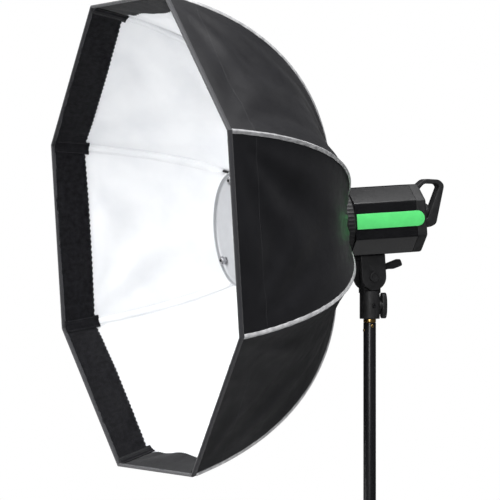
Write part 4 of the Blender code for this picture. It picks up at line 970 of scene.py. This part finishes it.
for k in range(1, 9):
    line = [(CLOTH_STARTS + (share_before_edge(0.008) - CLOTH_STARTS) * n / 90,
             1 + 0.12 * noise.noise(Vector((n * 0.5, k, 4))))
            for n in range(91)]
    piping = sewn_piece(f"silver_seam_tape_{k}", *along_seam(k, TAPE_FOLD, line, 0.0006), silver,
                        f"panel_{k}")
    back_end, front_end = 0.40 + 0.012 * math.sin(k * 2.3), share_before_edge(0.058)
    line = [(back_end + (front_end - back_end) * n / 60, 1 + 0.10 * noise.noise(Vector((n * 0.31, k, 8))))
            for n in range(61)]
    line[:3] = [(line[0][0], 0.45), (line[1][0], 0.72), (line[2][0], 0.95)]
    sleeve_strip = sewn_piece(f"white_rib_sleeve_{k}", *along_seam(k, SLEEVE, line, 0.0008), lining_cloth,
                              f"panel_{k}")
    line = [(share_before_edge(0.0665 - 0.0615 * n / 14), 1 + 0.04 * noise.noise(Vector((n * 0.6, k, 3))))
            for n in range(15)]
    tab = sewn_piece(f"corner_tab_{k}", *along_seam(k, TAB, line), pile, f"panel_{k}")

# ---- Stitching ---------------------------------------------------------------
# Bonded thread, sewn by machine: one line through the nylon over the loop tape's inner edge, one through the
# binding, one down each side of every corner tab, and white thread down both sides of every sleeve.


def lock_stitch():
    """One visible stitch: a plump grain of thread that lies along its seam."""
    tree, given = repeating_tree("lock_stitch", ("Stitch Length", "Thread Radius"))
    grain = node(tree, "GeometryNodeMeshUVSphere", to_Segments=7, to_Rings=5, to_Radius=1.0)
    half_long = node(tree, "ShaderNodeMath", operation="MULTIPLY", to_0=given["Stitch Length"], to_1=0.5)
    size = node(tree, "ShaderNodeCombineXYZ", to_X=given["Thread Radius"], to_Y=given["Thread Radius"],
                to_Z=half_long.outputs[0])
    drawn = node(tree, "GeometryNodeTransform", to_Geometry=grain.outputs[0], to_Scale=size.outputs[0])
    return seated(tree, given, drawn.outputs[0])


def stitch_line(place_at, length, pitch):
    """Seats along a line of cloth, where place_at gives the place at a share of its length."""
    count = int(length / pitch)
    ends = [(place_at((n + 0.2) / count), place_at((n + 0.8) / count)) for n in range(count)]
    return [((a + b) / 2, b - a) for a, b in ends]


black_thread = hard_finish("bonded_black_thread", (0.030, 0.030, 0.034), 0.5, grain=6000, depth=0.00004)
white_thread = hard_finish("bonded_white_thread", (0.66, 0.67, 0.69), 0.5, grain=6000, depth=0.00004,
                           spread=0.1)
stitch_tree = lock_stitch()
SHORT = {"Stitch Length": 0.0026, "Thread Radius": 0.00028, "Finish": black_thread}
tape_line = share_before_edge(0.0575)
for k in range(1, 9):
    outside = stitch_line(lambda t: wall_point(k, tape_line, 0.01 + 0.98 * t, -0.0001), FRONT_WIDTH, 0.0044)
    outside += stitch_line(lambda t: edge_point(k, 0.01 + 0.98 * t, 0.0052, -0.0011), FRONT_WIDTH, 0.0036)
    outside += stitch_line(lambda t: edge_point(k, 0.03 + 0.94 * t, 0.0050, 0.0039), FRONT_WIDTH, 0.0036)
    sewn = repeated(f"edge_stitches_{k}", stitch_tree, {**SHORT, "Stitch Length": 0.0030}, outside,
                    f"panel_{k}")
    gather_on(sewn)
    inside = stitch_line(lambda t: wall_point(k, tape_line, 0.035 + 0.93 * t, 0.0034), FRONT_WIDTH * 0.93,
                         0.0044)
    sewn = repeated(f"tape_stitches_{k}", stitch_tree, SHORT, inside, f"panel_{k}")
    gather_on(sewn)
    tab_sides, sleeve_sides = [], []
    for side in (-1, 1):
        tab_sides += stitch_line(lambda t: seam_point(k, share_before_edge(0.064 - 0.054 * t), side * 0.0090,
                                                      0.0056),
                                 0.054, 0.0036)
        sleeve_sides += stitch_line(lambda t: seam_point(k, 0.47 + (share_before_edge(0.068) - 0.47) * t,
                                                         side * 0.0078, 0.0029), run[-1] * 0.40, 0.0040)
    repeated(f"tab_stitches_{k}", stitch_tree, SHORT, tab_sides, f"panel_{k}")
    repeated(f"sleeve_stitches_{k}", stitch_tree, {**SHORT, "Finish": white_thread}, sleeve_sides,
                     f"panel_{k}")

# ---- Deflector dish ----------------------------------------------------------
# A spun aluminium dish, stove enamelled white, stands on three bent steel posts before the lamp and throws its
# light back into the canopy. Knurled thumb nuts hold it on the posts' threaded ends.
# The dish's white enamel is given a mid grey colour: painted shade, so that the dish reads darker than the white
# lining around it.
dish_enamel_shaded = hard_finish("white_stove_enamel", (0.44, 0.45, 0.47), 0.36, coat=0.1, grain=700, depth=0.00004,
                     spread=0.03)
HUB_FACE = 0.0386
POSTS = [math.radians(a) for a in (219, 339, 99)]
back_face, sheet = 0.190, 0.002
profile = [(0, back_face), (0.030, back_face), (0.0315, back_face + 0.0006), (0.033, back_face),
           (0.072, back_face), (0.094, back_face + 0.0002), (0.0985, back_face + 0.001),
           (0.1, back_face + 0.004), (0.1, back_face + 0.0066), (0.0993, back_face + 0.0078),
           (0.0984, back_face + 0.0078), (0.0978, back_face + 0.0066), (0.0975, back_face + 0.0042),
           (0.0965, back_face + 0.003), (0.0935, back_face + sheet + 0.0002), (0.072, back_face + sheet),
           (0.033, back_face + sheet), (0.0315, back_face + sheet + 0.0006), (0.030, back_face + sheet),
           (0, back_face + sheet)]
stud_holes = [bar(HEAD @ Vector((0.085 * math.cos(a), 0.085 * math.sin(a), back_face - 0.01)),
                  HEAD @ Vector((0.085 * math.cos(a), 0.085 * math.sin(a), back_face + 0.01)), 0.0025, 24)
              for a in POSTS]
dish = union_of("spun_deflector_dish", [turned(eased(profile, 0.0005, 3), HEAD, 144)], dish_enamel_shaded, "softbox",
                stud_holes, 0, 50)
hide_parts("deflector_dish")


def swept_rod(path, radius, sides=20):
    """A round bar along a path of points, given in the head's own directions."""
    points = []
    for k, at in enumerate(path):
        way = (path[min(k + 1, len(path) - 1)] - path[max(k - 1, 0)]).normalized()
        aside = way.cross(Vector((0, 0, 1)) if abs(way.z) < 0.95 else Vector((1, 0, 0))).normalized()
        other = way.cross(aside)
        points += [HEAD @ (at + aside * radius * math.cos(turn) + other * radius * math.sin(turn))
                   for turn in (math.tau * s / sides for s in range(sides))]
    return points, ring_faces_of(len(path), sides)


for k, a in enumerate(POSTS, 1):
    way = Vector((math.cos(a), math.sin(a)))
    foot_at, head_at = way * 0.050, way * 0.085
    knots = [Vector((*foot_at, HUB_FACE - 0.0075)), Vector((*foot_at, HUB_FACE + 0.011)),
             Vector((*(foot_at * 0.93 + head_at * 0.07), HUB_FACE + 0.018)),
             Vector((*(foot_at * 0.05 + head_at * 0.95), back_face - 0.027)),
             Vector((*head_at, back_face - 0.018)), Vector((*head_at, back_face - 0.0003))]
    path = [knots[0]]
    for before, here, after in zip(knots, knots[1:], knots[2:]):
        path += round_corner(here, before - here, after - here, 0.008, 5)
    path.append(knots[-1])
    thread_profile, turns_up = [(0, back_face - 0.004)], 22
    for n in range(turns_up):
        z = back_face - 0.004 + 0.017 * n / turns_up
        thread_profile += [(0.00195, z), (0.0022, z + 0.00038)]
    thread_profile += [(0.00195, back_face + 0.013), (0, back_face + 0.013)]
    placing = HEAD @ Matrix.Translation((*head_at, 0))
    post = union_of(f"bent_deflector_post_{k}", [swept_rod(path, 0.003), turned(thread_profile, placing, 24)],
                    black_steel, "softbox", (), 0, 30)
    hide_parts(f"deflector_post_{k}")
    points, faces = knurled_ring(eased([(0.0026, 0.1923), (0.0060, 0.1923), (0.0060, 0.1932),
                                        (0.0042, 0.1940), (0.0042, 0.1962), (0.0075, 0.1970),
                                        (0.0075, 0.2004), (0.0068, 0.2013), (0.0026, 0.2013)], 0.0003), 26,
                                 0.0005, placing)
    nut = new_piece(f"knurled_thumb_nut_{k}", points, faces, bright_alloy, f"nut_{k}", 28)
    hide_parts(f"deflector_nut_{k}")

# ---- Elastic collar ----------------------------------------------------------
# The cloth's inner edge is gathered on elastic behind the ribs, so that it grips the hub and leaks no light.
points, flat = [], []
hem = CLOTH_STARTS + 0.006
PLEATS, PLEATS_IN_GORE = 192, 24
for n in range(PLEATS):
    k, across = 1 + n // PLEATS_IN_GORE, n % PLEATS_IN_GORE / PLEATS_IN_GORE
    rims = [HEAD.inverted() @ wall_point(k, hem, across, depth) for depth in (-0.0002, -0.0009)]
    turn = math.atan2(rims[0].y, rims[0].x)
    gathered = 0.0003 + 0.0003 * math.sin(n * math.tau / 6)
    section = [(0.0707, 0.0228), (0.0710, 0.0264), None, None, (0.0722 + gathered, 0.0256),
               (0.0722 + gathered, 0.0232)]
    section[2:4] = [(math.hypot(rim_at.x, rim_at.y), rim_at.z) for rim_at in rims]
    for m, (reach, ahead) in enumerate(section):
        points.append(HEAD @ Vector((reach * math.cos(turn), reach * math.sin(turn), ahead)))
        flat.append((n / PLEATS * 0.46, m * 0.003))
faces = [[n * 6 + m, n * 6 + (m + 1) % 6, (n + 1) % PLEATS * 6 + (m + 1) % 6, (n + 1) % PLEATS * 6 + m]
         for n in range(PLEATS) for m in range(6)]
elastic = sewn_piece("gathered_elastic_collar", points, faces, flat, nylon, "softbox")
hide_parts("cloth_collar")
